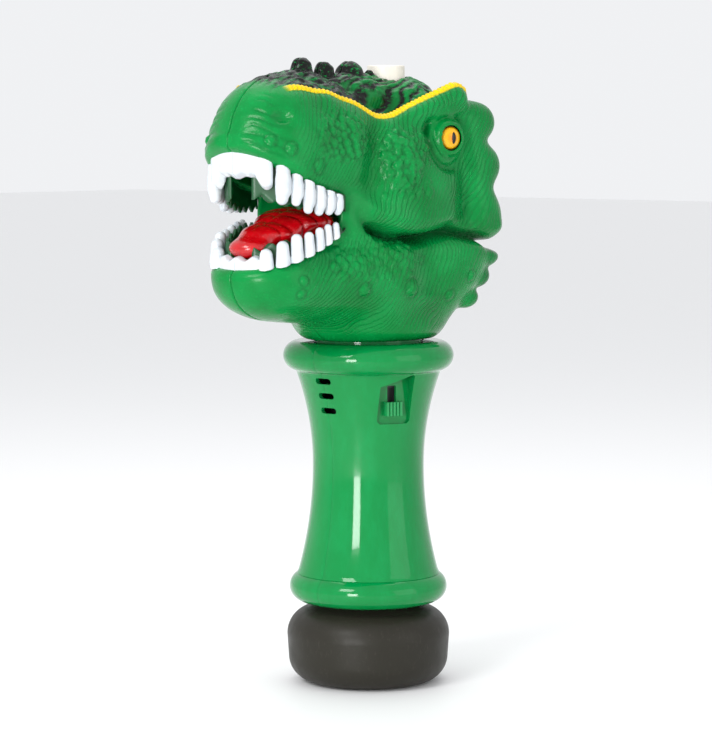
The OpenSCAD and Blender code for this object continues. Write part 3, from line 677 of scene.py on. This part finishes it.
def shell_field(p):
    """The hollow left half: outer form less mouth, hollow, neck, outlet and eye openings."""
    x, y, z = p
    form = head_form(p)
    f = carve(form, mouth_void(p), 1.3)
    hollow = np.maximum(form + 3.0, -(mouth_void(p) - 3.2))
    f = np.maximum(f, -np.maximum(hollow, 142.5 - z))
    f = np.maximum(f, -np.maximum(np.sqrt(x * x + y * y) - 21.9, z - 150))
    f = np.maximum(f, -np.maximum(np.sqrt(x * x + (y - 11) ** 2) - 7.9, 215 - z))
    out, rho = eye_place(p)
    f = np.maximum(f, -np.maximum(rho - 4.75, -out))
    socket = np.sqrt((x - EYE[0]) ** 2 + (y - EYE[1]) ** 2 + (z - EYE[2]) ** 2) - 6.7
    f = np.maximum(f, -socket)
    return np.maximum(f, 0.04 - x)


def pebbles(x, y, z, seeds, radius, height):
    """Rounded scales: each point takes the dome of its nearest seed."""
    best = np.full(len(x), 1e9)
    size = np.ones(len(x))
    for (sx, sy, sz), k in seeds:
        near = (np.abs(y - sy) < 2.2 * radius * k) & (np.abs(z - sz) < 2.2 * radius * k)
        gap = np.sqrt((x[near] - sx) ** 2 + (y[near] - sy) ** 2 + (z[near] - sz) ** 2)
        d = gap / (radius * k)
        i = np.flatnonzero(near)
        take = d < best[i]
        best[i[take]] = d[take]
        size[i[take]] = k
    return height * size * np.sqrt(np.clip(1 - best ** 2, 0, 1))


def ridge_x(y):
    """How far the yellow ridge stands from the middle, along the head."""
    return 12.2 + 5.0 * step01(y, -70, -40) + 5.6 * step01(y, -48, -10) + 7.2 * step01(y, -14, 30)


def ridge_z(y):
    return 230 + 9 * (1 - step01(y, -56, -16)) + 13 * step01(y, -14, 24)


STEP = 0.66
lo = (-1.5, -86.0, 138.5)
P = grid(lo, (41.0, 48.0, 253.5), STEP)
pts, quads = skin(shell_field([a.astype(np.float32) for a in P]), lo, STEP)
del P
seam = pts[:, 0] < 0.6
pts = relax(pts, quads, 2, 0.5, seam)
pts[seam, 0] = np.maximum(pts[seam, 0], 0.04)
p = [pts[:, 0], pts[:, 1], pts[:, 2]]
x, y, z = p
normal = gradient(head_form, p)
outside = step01(head_form(p), -1.6, -0.5) * step01(mouth_void(p), 0.2, 1.8)
rng = np.random.default_rng(7)


def scatter(count, box, gap):
    """Seeds on the skin inside a box, no two nearer than gap."""
    (x0, x1), (y0, y1), (z0, z1) = box
    ok = (x > x0) & (x < x1) & (y > y0) & (y < y1) & (z > z0) & (z < z1) & (outside > 0.9)
    pool = pts[ok]
    chosen = []
    for i in rng.permutation(len(pool))[: count * 14]:
        c = pool[i]
        if all(sum((c - s) ** 2) > gap * gap for s in chosen):
            chosen.append(c)
            if len(chosen) >= count:
                break
    return [(c, rng.uniform(0.75, 1.15)) for c in chosen]


# Flow lines: fine engraved creases that sweep round the snout, the eye and the jaw. Their course
# is a smooth measure over the skin, and the material engraves one line for every 1.9 mm of it and
# darkens each with painted shade.
n1 = value_noise(x, y, z, 10.0, 1)
n2 = value_noise(x, y, z, 5.0, 2)
n3 = value_noise(x, y, z, 17.0, 3)
out, rho = eye_place(p)
above = step01(z - fold_z(y), -3.0, 3.0)
flow = above * (0.87 * y - 0.5 * z + 150.0)
flow += (1 - above) * np.sqrt((y + 88) ** 2 + (z - 200) ** 2)
flow += 2.2 * n1 + 0.7 * n2
lift = np.zeros(len(x))

# Pebbly scales: small before and below the eye and behind the snout, larger warts on the jaw.
small = scatter(420, ((12, 40), (-66, 0), (198, 238)), 2.2)
near_ridge = np.exp(-((y + 45) / 16) ** 2 - ((z - 221) / 11) ** 2)
below_eye = np.exp(-((y + 16) / 9) ** 2 - ((z - 212) / 13) ** 2)
pebbly = np.clip(near_ridge + below_eye, 0, 1)
grains = pebbles(x, y, z, small, 1.6, 0.9)
lift += grains * step01(pebbly, 0.25, 0.6)
valley = step01(pebbly, 0.3, 0.6) * (1 - step01(grains, 0.05, 0.4))
medium = scatter(26, ((18, 40), (-24, -4), (196, 224)), 4.0)
lift += pebbles(x, y, z, medium, 1.9, 0.75)
jaw_scales = scatter(90, ((14, 40), (-46, -12), (166, 182)), 3.0)
lift += pebbles(x, y, z, jaw_scales, 1.8, 0.7)
WARTS = (((31.0, -35.4, 161.2), 2.9, 1.3), ((35.0, -11.5, 161.5), 3.3, 1.5),
         ((36.0, -4.7, 172.6), 2.4, 1.0), ((35.0, 21.7, 165.2), 2.0, 0.8),
         ((35.0, 12.0, 157.2), 2.3, 0.9), ((27.0, -49.3, 172.0), 2.4, 0.7),
         ((23.0, -65.0, 166.4), 1.7, 0.7), ((23.0, -65.5, 160.8), 1.8, 0.7),
         ((17.5, -77.5, 220.0), 1.8, 0.9), ((22.0, -71.0, 216.8), 2.0, 1.0),
         ((26.5, -57.8, 209.8), 2.6, 0.6))
for c, r, h in WARTS:
    d = np.sqrt((x - c[0]) ** 2 * 0.4 + (y - c[1]) ** 2 + (z - c[2]) ** 2) / r
    lift += 1.35 * h * np.exp(-d ** 4 * 1.2) - 0.3 * np.exp(-((d - 1.3) / 0.25) ** 2)

# The snout's front has stacked horizontal creases.
front = step01(-y, 68, 77) * step01(z, 211, 216)
crease = (0.5 + 0.5 * np.sin(2 * np.pi * (z + 0.5 * y + 1.6 * n2) / 4.0)) ** 3
lift -= 0.28 * front * crease * step01(x, 5, 11)

# Where the lines show: not on the lips, chin, lids, mouth hollow, crown or the neck's edge.
hollow = np.sqrt((y + 40.5) ** 2 + (z - 191.5) ** 2)
fade = np.clip(0.62 + 0.5 * n3, 0.15, 1) * step01(rho, 9.5, 13)
fade *= step01(hollow, 9, 12) * step01(z, 142, 148)
fade *= 1 - step01(-y, 58, 72) * np.where(z < 190, 1.0, 0.9)
fade *= 1 - 0.8 * step01(pebbly, 0.3, 0.7)

# Yellow beaded ridge over the snout and brow, and black-brushed scutes between the two ridges.
top = step01(normal[:, 2], 0.0, 0.22) * step01(z, 223, 227)
off = x - ridge_x(y)
on_ridge = step01(normal[:, 2], -0.1, 0.08) * step01(z, 223, 227)
on_ridge *= step01(y, -66, -62) * step01(-y, -27, -23) * step01(z - ridge_z(y), -7.0, -5.0)
bead = 0.66 + 0.34 * np.cos(2 * np.pi * y / 1.9)
broad = 0.75 + 0.25 * step01(y, -40, -20)
lift += 1.25 * on_ridge * bead * step01(-np.abs(off - 0.3), -2.3 * broad, -0.4)
yellow = on_ridge * step01(-np.abs(off - 0.3), -2.1 * broad, -1.6 * broad)
between = top * step01(ridge_x(y) - x, 1.3, 2.3) * step01(-y, -33, -26) * outside * step01(y, -72, -62)
scute_n = value_noise(x * 1.3, y * 0.36, z * 0.3, 2.1, 5)
scute_n += 0.5 * value_noise(x, y * 0.45, z, 1.1, 6)
plate = np.abs(np.sin(np.pi * (y + 0.7 * x + 1.2 * n2) / 7.0)) ** 0.5
domes = np.full(len(x), 9.0)
for cy, r, bump_top in CROWN_BUMPS:
    domes = np.minimum(domes, np.sqrt(x ** 2 + (y - cy) ** 2) / r)
on_dome = step01(1.12 - domes, 0, 0.1) * step01(z, 240, 242)
lift += between * (1 - on_dome) * (0.42 * np.tanh(2.0 * scute_n) + 0.5 * (plate - 0.8))
lift += on_dome * 0.22 * value_noise(x, y, z, 1.6, 8)
furrow = (0.5 + 0.5 * np.sin(2 * np.pi * (x + 1.5 * n2 + 1.2 * n1 + 0.12 * y) / 2.9)) ** 2
rear = step01(y, -30, -8)
lift -= between * (1 - on_dome) * 0.45 * furrow
brushed = (0.45 + 0.45 * scute_n + 0.2 * n1) * (1 - 0.75 * rear)
dark = between * np.clip(brushed + furrow * (0.35 + 0.3 * rear), 0, 1)
dark = np.maximum(dark, on_dome * np.clip(1.0 + 0.35 * scute_n, 0.6, 1))
# Painted shade on the low rear lobes behind the jaw.
lobe_shade = step01(y, 31, 35) * step01(-z, -178, -175) * step01(x, 15, 19)
fade *= (1 - between) * (1 - yellow)
lift *= outside
pts = pts + normal * lift[:, None]
pts[:, 0] = np.where(seam, np.maximum(pts[:, 0], 0.04), pts[:, 0])
pts[:, 2] = np.clip(pts[:, 2], 139.9, 252.1)
pts[:, 1] = np.clip(pts[:, 1], -83.8, 45.3)
pts[:, 0] = np.clip(pts[:, 0], 0.04, 37.9)

skin_green = Graph("head_green")
shade = skin_green.ramp(skin_green.noise(16.0, 3.0), 0.3, 0.7)
base = skin_green.mix(shade, linear((0, 112, 46)), linear((4, 134, 62)))
course = skin_green.math("ADD", skin_green.attribute("flow"), skin_green.math(
    "MULTIPLY", skin_green.noise(3.0, 2.0), 0.9))
wave = skin_green.math("SINE", skin_green.math("MULTIPLY", course, 2 * math.pi / 1.9))
line = skin_green.math("MULTIPLY", skin_green.ramp(wave, 0.15, 1.0), skin_green.attribute("fade"))
# Painted shade: each engraved crease line is darkened towards deep green.
base = skin_green.mix(skin_green.math("MULTIPLY", line, 0.24), base, linear((0, 62, 26)))
# Painted shade: darker in sunk places, between pebbles, on the rear lobes and along the cheek fold.
base = skin_green.mix(skin_green.attribute("pit"), base, linear((0, 50, 20)))
streak = skin_green.ramp(skin_green.noise(1.3, 4.0, (1.0, 0.35, 1.0), 0.7), 0.3, 0.55)
washed = skin_green.math("MULTIPLY", skin_green.attribute("dark"), streak)
washed = skin_green.ramp(washed, 0.12, 0.5)
base = skin_green.mix(washed, base, linear((18, 20, 18)))
chip = skin_green.ramp(skin_green.noise(0.8, 3.0), 0.26, 0.32)
painted = skin_green.math("MULTIPLY", skin_green.attribute("yellow"), chip)
base = skin_green.mix(painted, base, linear((232, 196, 14)))
gloss = skin_green.ramp(skin_green.noise(3.0, 4.0), 0.35, 0.75, 0.2, 0.32)
skin_green.set(Base_Color=base, Roughness=gloss, Coat_Weight=0.08, Coat_Roughness=0.1, IOR=1.48)
skin_green.set(Specular_IOR_Level=0.14)
skin_green.set(Subsurface_Weight=0.05, Subsurface_Radius=[0.3, 1.0, 0.4], Subsurface_Scale=0.002)
grooved = skin_green.bump(skin_green.math("MULTIPLY", line, -1.0), 0.34, 1.0,
                          skin_green.bump(skin_green.noise(0.7, 3.0), 0.04))
skin_green.set(Normal=grooved)


def sculpted(name, pts, quads, material, body_node, slot, mirror=False, **values):
    points = pts * np.array([-1, 1, 1]) if mirror else pts
    faces = quads[:, ::-1] if mirror else quads
    mesh = bpy.data.meshes.new(name)
    mesh.vertices.add(len(points))
    mesh.vertices.foreach_set("co", (points / 1000.0).ravel())
    mesh.loops.add(faces.size)
    mesh.loops.foreach_set("vertex_index", faces.ravel())
    mesh.polygons.add(len(faces))
    mesh.polygons.foreach_set("loop_start", np.arange(0, faces.size, faces.shape[1]))
    mesh.polygons.foreach_set("use_smooth", np.ones(len(faces), bool))
    for key, v in values.items():
        mesh.attributes.new(key, "FLOAT", "POINT").data.foreach_set("value", v.astype(np.float32))
    mesh.update()
    mesh.validate()
    mesh.materials.append(material)
    piece = bpy.data.objects.new(name, mesh)
    bpy.context.scene.collection.objects.link(piece)
    rides(piece, body_node, slot)
    return piece


# Painted shade: the skin is darkened where it is sunk (creases, furrows, wart rims), in the valleys
# between pebbles, on the rear lobes and along the cheek fold.
fold_shade = np.exp(-((z - fold_z(y)) / 1.8) ** 2) * step01(y, -38, -32) * outside
pit_amount = np.clip(-lift * 0.9, 0, 0.6) + 0.26 * valley + 0.3 * lobe_shade + 0.5 * fold_shade
deep = (outside < 0.02) & (head_form(p) < -2.0) & (mouth_void(p) > 2.6)
hidden = np.flatnonzero(deep).tolist()
for side in (1, -1):
    name = "head_left" if side > 0 else "head_right"
    shell = sculpted(name + "_shell", pts, quads, skin_green.mat, name, "head_green", side < 0,
                     flow=flow, fade=fade * outside, yellow=yellow, dark=dark, pit=pit_amount)
    # The plain inside of the moulding needs far fewer faces than its carved outside.
    shell.vertex_groups.new(name="inside").add(hidden, 1.0, "REPLACE")
    thin = shell.modifiers.new("thin", "DECIMATE")
    thin.vertex_group = "inside"
    thin.ratio = 0.62
    only(shell)
    bpy.ops.object.modifier_apply(modifier=thin.name)

# The mouth liner is a separate dark green moulding behind the lips: a ribbed palate, a throat wall
# and a floor. It stands a little inside the head shell, and the teeth hide its edge.


def side_line(px, py, places):
    """Distance, seen from above, to a run of straight lengths between places."""
    best = np.full(px.shape, 99.0)
    for (ax, ay), (bx, by) in zip(places, places[1:]):
        d = (bx - ax, by - ay)
        t = np.clip(((px - ax) * d[0] + (py - ay) * d[1]) / (d[0] ** 2 + d[1] ** 2), 0, 1)
        best = np.minimum(best, np.sqrt((px - ax - t * d[0]) ** 2 + (py - ay - t * d[1]) ** 2))
    return best


# The skirts' course on one side, from the front of the mouth to its corner.
SKIRT_RUN = ((6.0, -75.6), (13.6, -69.4), (17.6, -63.0), (20.4, -55.5), (22.2, -48.0), (22.8, -42.5))


def liner_field(p):
    x, y, z = p
    ax = np.abs(x)
    q = (ax, y, z)
    ribs = 0.6 * np.sin(2 * np.pi * (y + 0.35 * ax) / 4.6) * step01(z, 203, 207)
    void = mouth_void(q)
    f = np.maximum(void - 1.9, -(void + ribs * 0.6 - 0.45))
    f = np.maximum(f, head_form(q) + 3.6)
    # A notched skirt backs each row of teeth.
    run = side_line(ax, y, SKIRT_RUN) - 0.9
    notch = 3.0 * np.abs((y / 4.4 + 0.3) % 1.0 - 0.5) * 2
    edge = np.maximum(198.6 - 0.3 * (y + 72), 193.8) - notch
    skirt = np.maximum(run, np.maximum(edge - z, z - upper_lip(y) - 2.0))
    f = np.minimum(f, skirt)
    edge = np.minimum(176.2 + 0.33 * (y + 77), 184.5) + notch
    skirt = np.maximum(run, np.maximum(z - edge, lower_lip(y) - 2.0 - z))
    f = np.minimum(f, skirt)
    hole = np.sqrt(x * x + (z - 191) ** 2) - 2.7
    return np.maximum(f, -np.maximum(hole, -42.0 - y))


LINER_STEP = 0.55
lo = (-30.0, -82.0, 168.0)
P = grid(lo, (30.0, -29.0, 226.0), LINER_STEP)
lpts, lquads = skin(liner_field([a.astype(np.float32) for a in P]), lo, LINER_STEP)
lpts = relax(lpts, lquads, 2)
liner_green = plastic("liner_green", (4, 74, 34), 0.35, 0.8, 0.03, 0.05)
liner = sculpted("mouth_liner_shell", lpts, lquads, liner_green, "mouth_liner", "liner_green")

# Teeth: each side of each jaw is one glossy white moulding, a broad band at the front and separate
# pegs behind, with a moulded crease between neighbours.

# Each tooth: its place across and along, its length and its half width.
UPPER_TEETH = ((17.6, -71.6, 13.6, 3.15), (20.3, -66.6, 11.3, 2.5), (22.2, -61.8, 11.9, 2.5),
               (23.5, -57.0, 10.6, 2.4), (24.5, -52.3, 8.8, 2.3), (25.3, -48.1, 7.6, 1.95))
LOWER_TEETH = ((12.6, -75.6, 7.3, 3.1), (17.2, -71.3, 9.0, 3.0), (20.0, -66.4, 9.9, 2.75),
               (21.9, -61.4, 8.6, 2.4), (23.1, -56.6, 8.0, 2.1), (23.9, -52.6, 7.2, 1.85),
               (24.6, -48.8, 5.8, 1.7))


def upper_teeth_field(p):
    x, y, z = p
    lip = upper_lip(y)
    r = np.sqrt(x ** 2 + (y + 57.0) ** 2)
    turn = np.degrees(np.arctan2(x, -(y + 57.0)))
    # The band: a tall scalloped front with one big lobe at each end.
    depth = 7.6 + 0.7 * np.cos(turn / 4.0) + 3.0 * np.exp(-((turn - 34) / 7.0) ** 2)
    depth = depth - 1.6 * np.exp(-((turn - 22) / 4.0) ** 2)
    body = np.abs(r - 22.2 - 0.5 * np.exp(-((turn - 34) / 8.0) ** 2)) - 0.9
    band = np.sqrt(np.maximum(body, 0) ** 2 + np.maximum(lip - depth + 1.6 - z, 0) ** 2) - 1.3
    band = join(band, rod(p, (12.4, -74.9, 216), (12.4, -75.2, 207.0), 3.1, 2.7), 1.0)
    f = -join(-band, -(turn - 40.5) * 0.42, 1.4)
    # Separate teeth: one long canine, then five that get shorter towards the corner.
    for cx, cy, length, wide in UPPER_TEETH:
        top = float(upper_lip(np.float64(cy)))
        a = (cx, cy, top + 1.0)
        b = (cx - 0.5, cy - 0.2, top - length + wide * 0.78)
        belly = rod(p, (cx, cy, top - length * 0.3), (cx, cy, top - length * 0.6), wide, wide * 0.96)
        f = join(f, join(rod(p, a, b, wide * 0.92, wide * 0.76), belly, 0.8), 0.15)
    return np.maximum(np.maximum(f, (z - lip - 0.6) * 0.87), 0.03 - x)


def lower_teeth_field(p):
    x, y, z = p
    lip = lower_lip(y)
    r = np.sqrt(x ** 2 + (y + 57.0) ** 2)
    turn = np.degrees(np.arctan2(x, -(y + 57.0)))
    height = 4.0 + 0.8 * np.cos(turn / 3.2)
    body = np.abs(r - 21.0) - 0.9
    band = np.sqrt(np.maximum(body, 0) ** 2 + np.maximum(z - lip - height + 1.3, 0) ** 2) - 1.2
    f = -join(-band, -(turn - 27.0) * 0.4, 1.2)
    for cx, cy, length, wide in LOWER_TEETH:
        low = float(lower_lip(np.float64(cy)))
        a = (cx, cy, low - 1.0)
        b = (cx - 0.3, cy, low + length - wide * 0.8)
        f = join(f, rod(p, a, b, wide, wide * 0.8), 0.15)
    return np.maximum(np.maximum(f, (lip - 0.6 - z) * 0.95), 0.03 - x)


enamel = Graph("tooth_white")
worn = enamel.ramp(enamel.noise(5.0, 3.0), 0.35, 0.7)
enamel.set(Base_Color=enamel.mix(worn, linear((192, 200, 206)), linear((206, 211, 213))), IOR=1.5)
enamel.set(Roughness=enamel.ramp(enamel.noise(2.0, 4.0), 0.4, 0.75, 0.14, 0.26), Coat_Weight=0.3)
enamel.set(Subsurface_Weight=0.15, Subsurface_Radius=[1.0, 0.9, 0.8], Subsurface_Scale=0.001)
enamel.set(Normal=enamel.bump(enamel.noise(1.6, 2.0, (1, 1, 0.3)), 0.04))
TOOTH_STEP = 0.36
for field, stem, low, high in ((upper_teeth_field, "upper_teeth", 186.0, 221.0),
                               (lower_teeth_field, "lower_teeth", 167.5, 193.0)):
    lo, hi = (-1.0, -84.0, low), (36.0, -42.0, high)
    tpts, tquads = skin(field([a.astype(np.float32) for a in grid(lo, hi, TOOTH_STEP)]), lo, TOOTH_STEP)
    tpts = relax(tpts, tquads, 3)
    tpts[:, 0] = np.maximum(tpts[:, 0], 0.03)
    for side in (1, -1):
        name = stem + ("_left" if side > 0 else "_right")
        sculpted(name + "_row", tpts, tquads, enamel.mat, name, "tooth_white", side < 0)

# The tongue lies on the floor of the mouth: glossy red, broad at the back, its top cut by uneven
# cross grooves and a shallow one along the middle.


def tongue_field(p):
    x, y, z = p
    f = ball(p, (0, -70.4, 178.4), (8.8, 8.4, 4.6))
    f = join(f, ball(p, (0, -58, 183.2), (12.0, 13, 5.2)), 5)
    f = join(f, ball(p, (0, -47, 187.4), (16.5, 11, 5.6)), 6)
    f = join(f, ball(p, (0, -42, 187.6), (16.5, 8.5, 5.0)), 5)
    wave = value_noise(x, y, 0 * z, 7.0, 9)
    groove = 0.5 + 0.5 * np.sin(2 * np.pi * (y + 0.9 * wave - 0.012 * x * x) / 4.4)
    f = f + 0.75 * groove ** 4 * step01(y, -70, -62) * step01(z, 180, 184)
    f = f + 0.5 * np.exp(-(x / 1.3) ** 2) * step01(y, -72, -64) * step01(z, 180, 184)
    return np.maximum(f, (lower_lip(y) + 0.2 - z) * 0.95)


TONGUE_STEP = 0.5
lo = (-18.0, -81.0, 170.0)
P = grid(lo, (18.0, -33.5, 196.0), TONGUE_STEP)
tpts, tquads = skin(tongue_field([a.astype(np.float32) for a in P]), lo, TONGUE_STEP)
tpts = relax(tpts, tquads, 2)
red = Graph("tongue_red")
mottle = red.ramp(red.noise(6.0, 3.0), 0.3, 0.7)
red.set(Base_Color=red.mix(mottle, linear((160, 0, 8)), linear((190, 4, 16))))
red.set(Roughness=red.ramp(red.noise(2.0, 4.0), 0.35, 0.7, 0.16, 0.3), Coat_Weight=0.3, IOR=1.5)
red.set(Normal=red.bump(red.noise(1.1, 3.0, (0.4, 1, 1)), 0.12))
sculpted("tongue_body", tpts, tquads, red.mat, "tongue", "tongue_red")

# Eyes: a glossy moulded dome, printed before a clear coat with an orange-yellow iris, a dark rim
# and an upright black slit.
for side in (1, -1):
    name = "eye_left" if side > 0 else "eye_right"
    eye = Graph(name + "_gloss")
    sep = eye.node("ShaderNodeSeparateXYZ")
    eye.link(eye.coord, sep.inputs[0])
    across = eye.math("SUBTRACT", eye.math("MULTIPLY", sep.outputs[1], 1000.0 * EYE_WAY[0]),
                      eye.math("MULTIPLY", sep.outputs[0], 1000.0 * EYE_WAY[1] * side))
    dy = eye.math("SUBTRACT", across, EYE[1] * EYE_WAY[0] - EYE[0] * EYE_WAY[1])
    dz = eye.math("SUBTRACT", eye.math("MULTIPLY", sep.outputs[2], 1000.0), EYE[2])
    rr = eye.math("SQRT", eye.math("ADD", eye.math("MULTIPLY", dy, dy),
                                   eye.math("MULTIPLY", dz, dz)))
    fleck = eye.noise(1.2, 4.0)
    iris = eye.mix(eye.ramp(fleck, 0.35, 0.65), linear((224, 150, 10)), linear((200, 112, 6)))
    iris = eye.mix(eye.ramp(rr, 1.0, 2.8), iris, linear((230, 170, 16)))
    ringed = eye.mix(eye.ramp(rr, 3.9, 4.4), iris, linear((120, 66, 8)))
    ringed = eye.mix(eye.ramp(rr, 4.5, 4.65), ringed, linear((6, 84, 36)))
    slit_y = eye.math("DIVIDE", eye.math("ABSOLUTE", eye.math("SUBTRACT", dy, 0.75)), 0.95)
    slit_z = eye.math("DIVIDE", eye.math("ABSOLUTE", dz), 2.4)
    slit = eye.math("ADD", eye.math("MULTIPLY", slit_y, slit_y),
                    eye.math("MULTIPLY", slit_z, slit_z))
    eye.set(Base_Color=eye.mix(eye.ramp(slit, 0.85, 1.1), linear((6, 5, 5)), ringed))
    eye.set(Roughness=eye.ramp(eye.noise(2.0, 3.0), 0.4, 0.7, 0.1, 0.16))
    eye.set(Coat_Weight=0.2, Specular_IOR_Level=0.35)
    eye.set(Normal=eye.bump(eye.noise(2.0, 2.0), 0.02))
    pts_eye, faces_eye = [], []
    rings_n, spokes = 22, 72
    for i in range(rings_n + 1):
        a = math.radians(80.0) * i / rings_n
        r0 = 6.4 * math.sin(a)
        d = 6.4 * math.cos(a)
        for k in range(spokes):
            t = 2 * math.pi * k / spokes
            w = r0 * math.cos(t)
            px = EYE[0] + d * EYE_WAY[0] - w * EYE_WAY[1]
            py = EYE[1] + d * EYE_WAY[1] + w * EYE_WAY[0]
            pts_eye.append((side * px, py, EYE[2] + r0 * math.sin(t)))
    for i in range(rings_n):
        for k in range(spokes):
            n = (k + 1) % spokes
            a, b = i * spokes, (i + 1) * spokes
            q = (a + k, a + n, b + n, b + k)
            faces_eye.append(q if side < 0 else q[::-1])
    order = range(spokes) if side < 0 else reversed(range(spokes))
    faces_eye.append(tuple(rings_n * spokes + k for k in order))
    ball_piece = mesh_piece(name + "_dome", pts_eye, faces_eye, eye.mat)
    seal_mesh(ball_piece)
    rides(ball_piece, name, "eye_gloss")

# A clear stepped lens at the back of the throat covers the light; its rings throw sparkles.
lens = Graph("clear_lens")
lens.set(Base_Color=linear((232, 238, 236)), Transmission_Weight=0.7, IOR=1.49)
lens.set(Roughness=lens.ramp(lens.noise(1.5, 3.0), 0.4, 0.7, 0.05, 0.12))
lens.set(Normal=lens.bump(lens.noise(1.2, 2.0), 0.05))
outline = [(0.01, 5.4), (1.4, 5.1), (2.0, 3.9), (2.7, 4.6), (3.3, 2.9), (4.0, 3.6), (4.6, 1.6),
           (5.3, 2.2), (5.5, 0.3), (5.3, 0.1), (0.01, 0.1)]
lens_piece = turned("throat_lens_rings", [(r, h * 0.55) for r, h in outline], lens.mat, 72)
for v in lens_piece.data.vertices:
    px, py, pz = v.co * 1000.0
    v.co = Vector((px, -33.0 - pz, 191.0 + py)) / 1000.0
rides(lens_piece, "throat_lens", "clear_lens")
dress(lens.mat, "throat_light")

# The outlet is a short off-white tube that stands out of the crown, with a softened rim.
ivory = plastic("nozzle_ivory", (238, 232, 220), 0.38, 0.4, 0.01, 0.05)
outline = arc_points(7.0, 248.9, 0.6, 0, 90, 5) + arc_points(6.3, 249.0, 0.5, 90, 180, 5)
outline += [(5.8, 228.1), (10.3, 228.0), (10.4, 229.4), (7.6, 229.6)]
nozzle = turned("outlet_nozzle_tube", outline, ivory, 96)
for v in nozzle.data.vertices:
    v.co.y += 0.011
smooth_by_angle(nozzle, 35)
rides(nozzle, "outlet_nozzle", "nozzle_ivory")

# Studio: a wide pale floor under an even white sky, with one soft light high on the left, an upright
# one beside it for the long highlight on the grip, a weak fill and one from behind the crown.
floor_mat = bpy.data.materials.new("floor")
floor_mat.use_nodes = True
floor_look = floor_mat.node_tree.nodes["Principled BSDF"].inputs
floor_look["Base Color"].default_value = (0.9, 0.9, 0.9, 1)
floor_look["Roughness"].default_value = 0.55
REACH = 6000
corners = [(-REACH, -REACH, 0), (REACH, -REACH, 0), (REACH, REACH, 0), (-REACH, REACH, 0)]
floor = mesh_piece("floor", corners, [(0, 1, 2, 3)], floor_mat)
world = bpy.data.worlds.new("sky")
bpy.context.scene.world = world
world.use_nodes = True
sky_look = world.node_tree.nodes["Background"].inputs
sky_look["Color"].default_value = (0.97, 0.98, 1.0, 1)
sky_look["Strength"].default_value = 0.9
bpy.context.scene.view_settings.view_transform = "Standard"
VIEW = math.radians(40.0)
RIGHT = Vector((math.cos(VIEW), math.sin(VIEW), 0))
BACK = Vector((math.sin(VIEW), -math.cos(VIEW), 0))


def lamp(name, across, towards, up, size, power, aim=(0, 0, 0.13), size_y=None):
    data = bpy.data.lights.new(name, "AREA")
    data.shape = "RECTANGLE"
    data.size = size
    data.size_y = size_y or size
    data.energy = power
    ob = bpy.data.objects.new(name, data)
    bpy.context.scene.collection.objects.link(ob)
    ob.location = RIGHT * across + BACK * towards + Vector((0, 0, up))
    ob.rotation_euler = (Vector(aim) - ob.location).to_track_quat("-Z", "Y").to_euler()
    return ob


lamp("key", -0.55, 0.75, 0.75, 0.36, 5.0)
lamp("strip", -0.40, 0.95, 0.12, 0.24, 6.0, (0, 0, 0.10), 0.34)
lamp("fill", 0.9, 0.6, 0.35, 0.7, 1.6)
lamp("top", 0.0, -0.3, 0.9, 0.7, 2.4)

# The camera looks at the toy's left front, a little above the middle.
target = Vector((0.0, 0.0, 0.1265)) + RIGHT * -0.005
cam_data = bpy.data.cameras.new("camera")
cam_data.lens = 138.0
cam_data.sensor_width = 36.0
cam = bpy.data.objects.new("camera", cam_data)
bpy.context.scene.collection.objects.link(cam)
elev = math.radians(5.0)
cam.location = target + BACK * (1.15 * math.cos(elev)) + Vector((0, 0, 1.15 * math.sin(elev)))
cam.rotation_euler = (target - cam.location).to_track_quat("-Z", "Y").to_euler()
bpy.context.scene.camera = cam
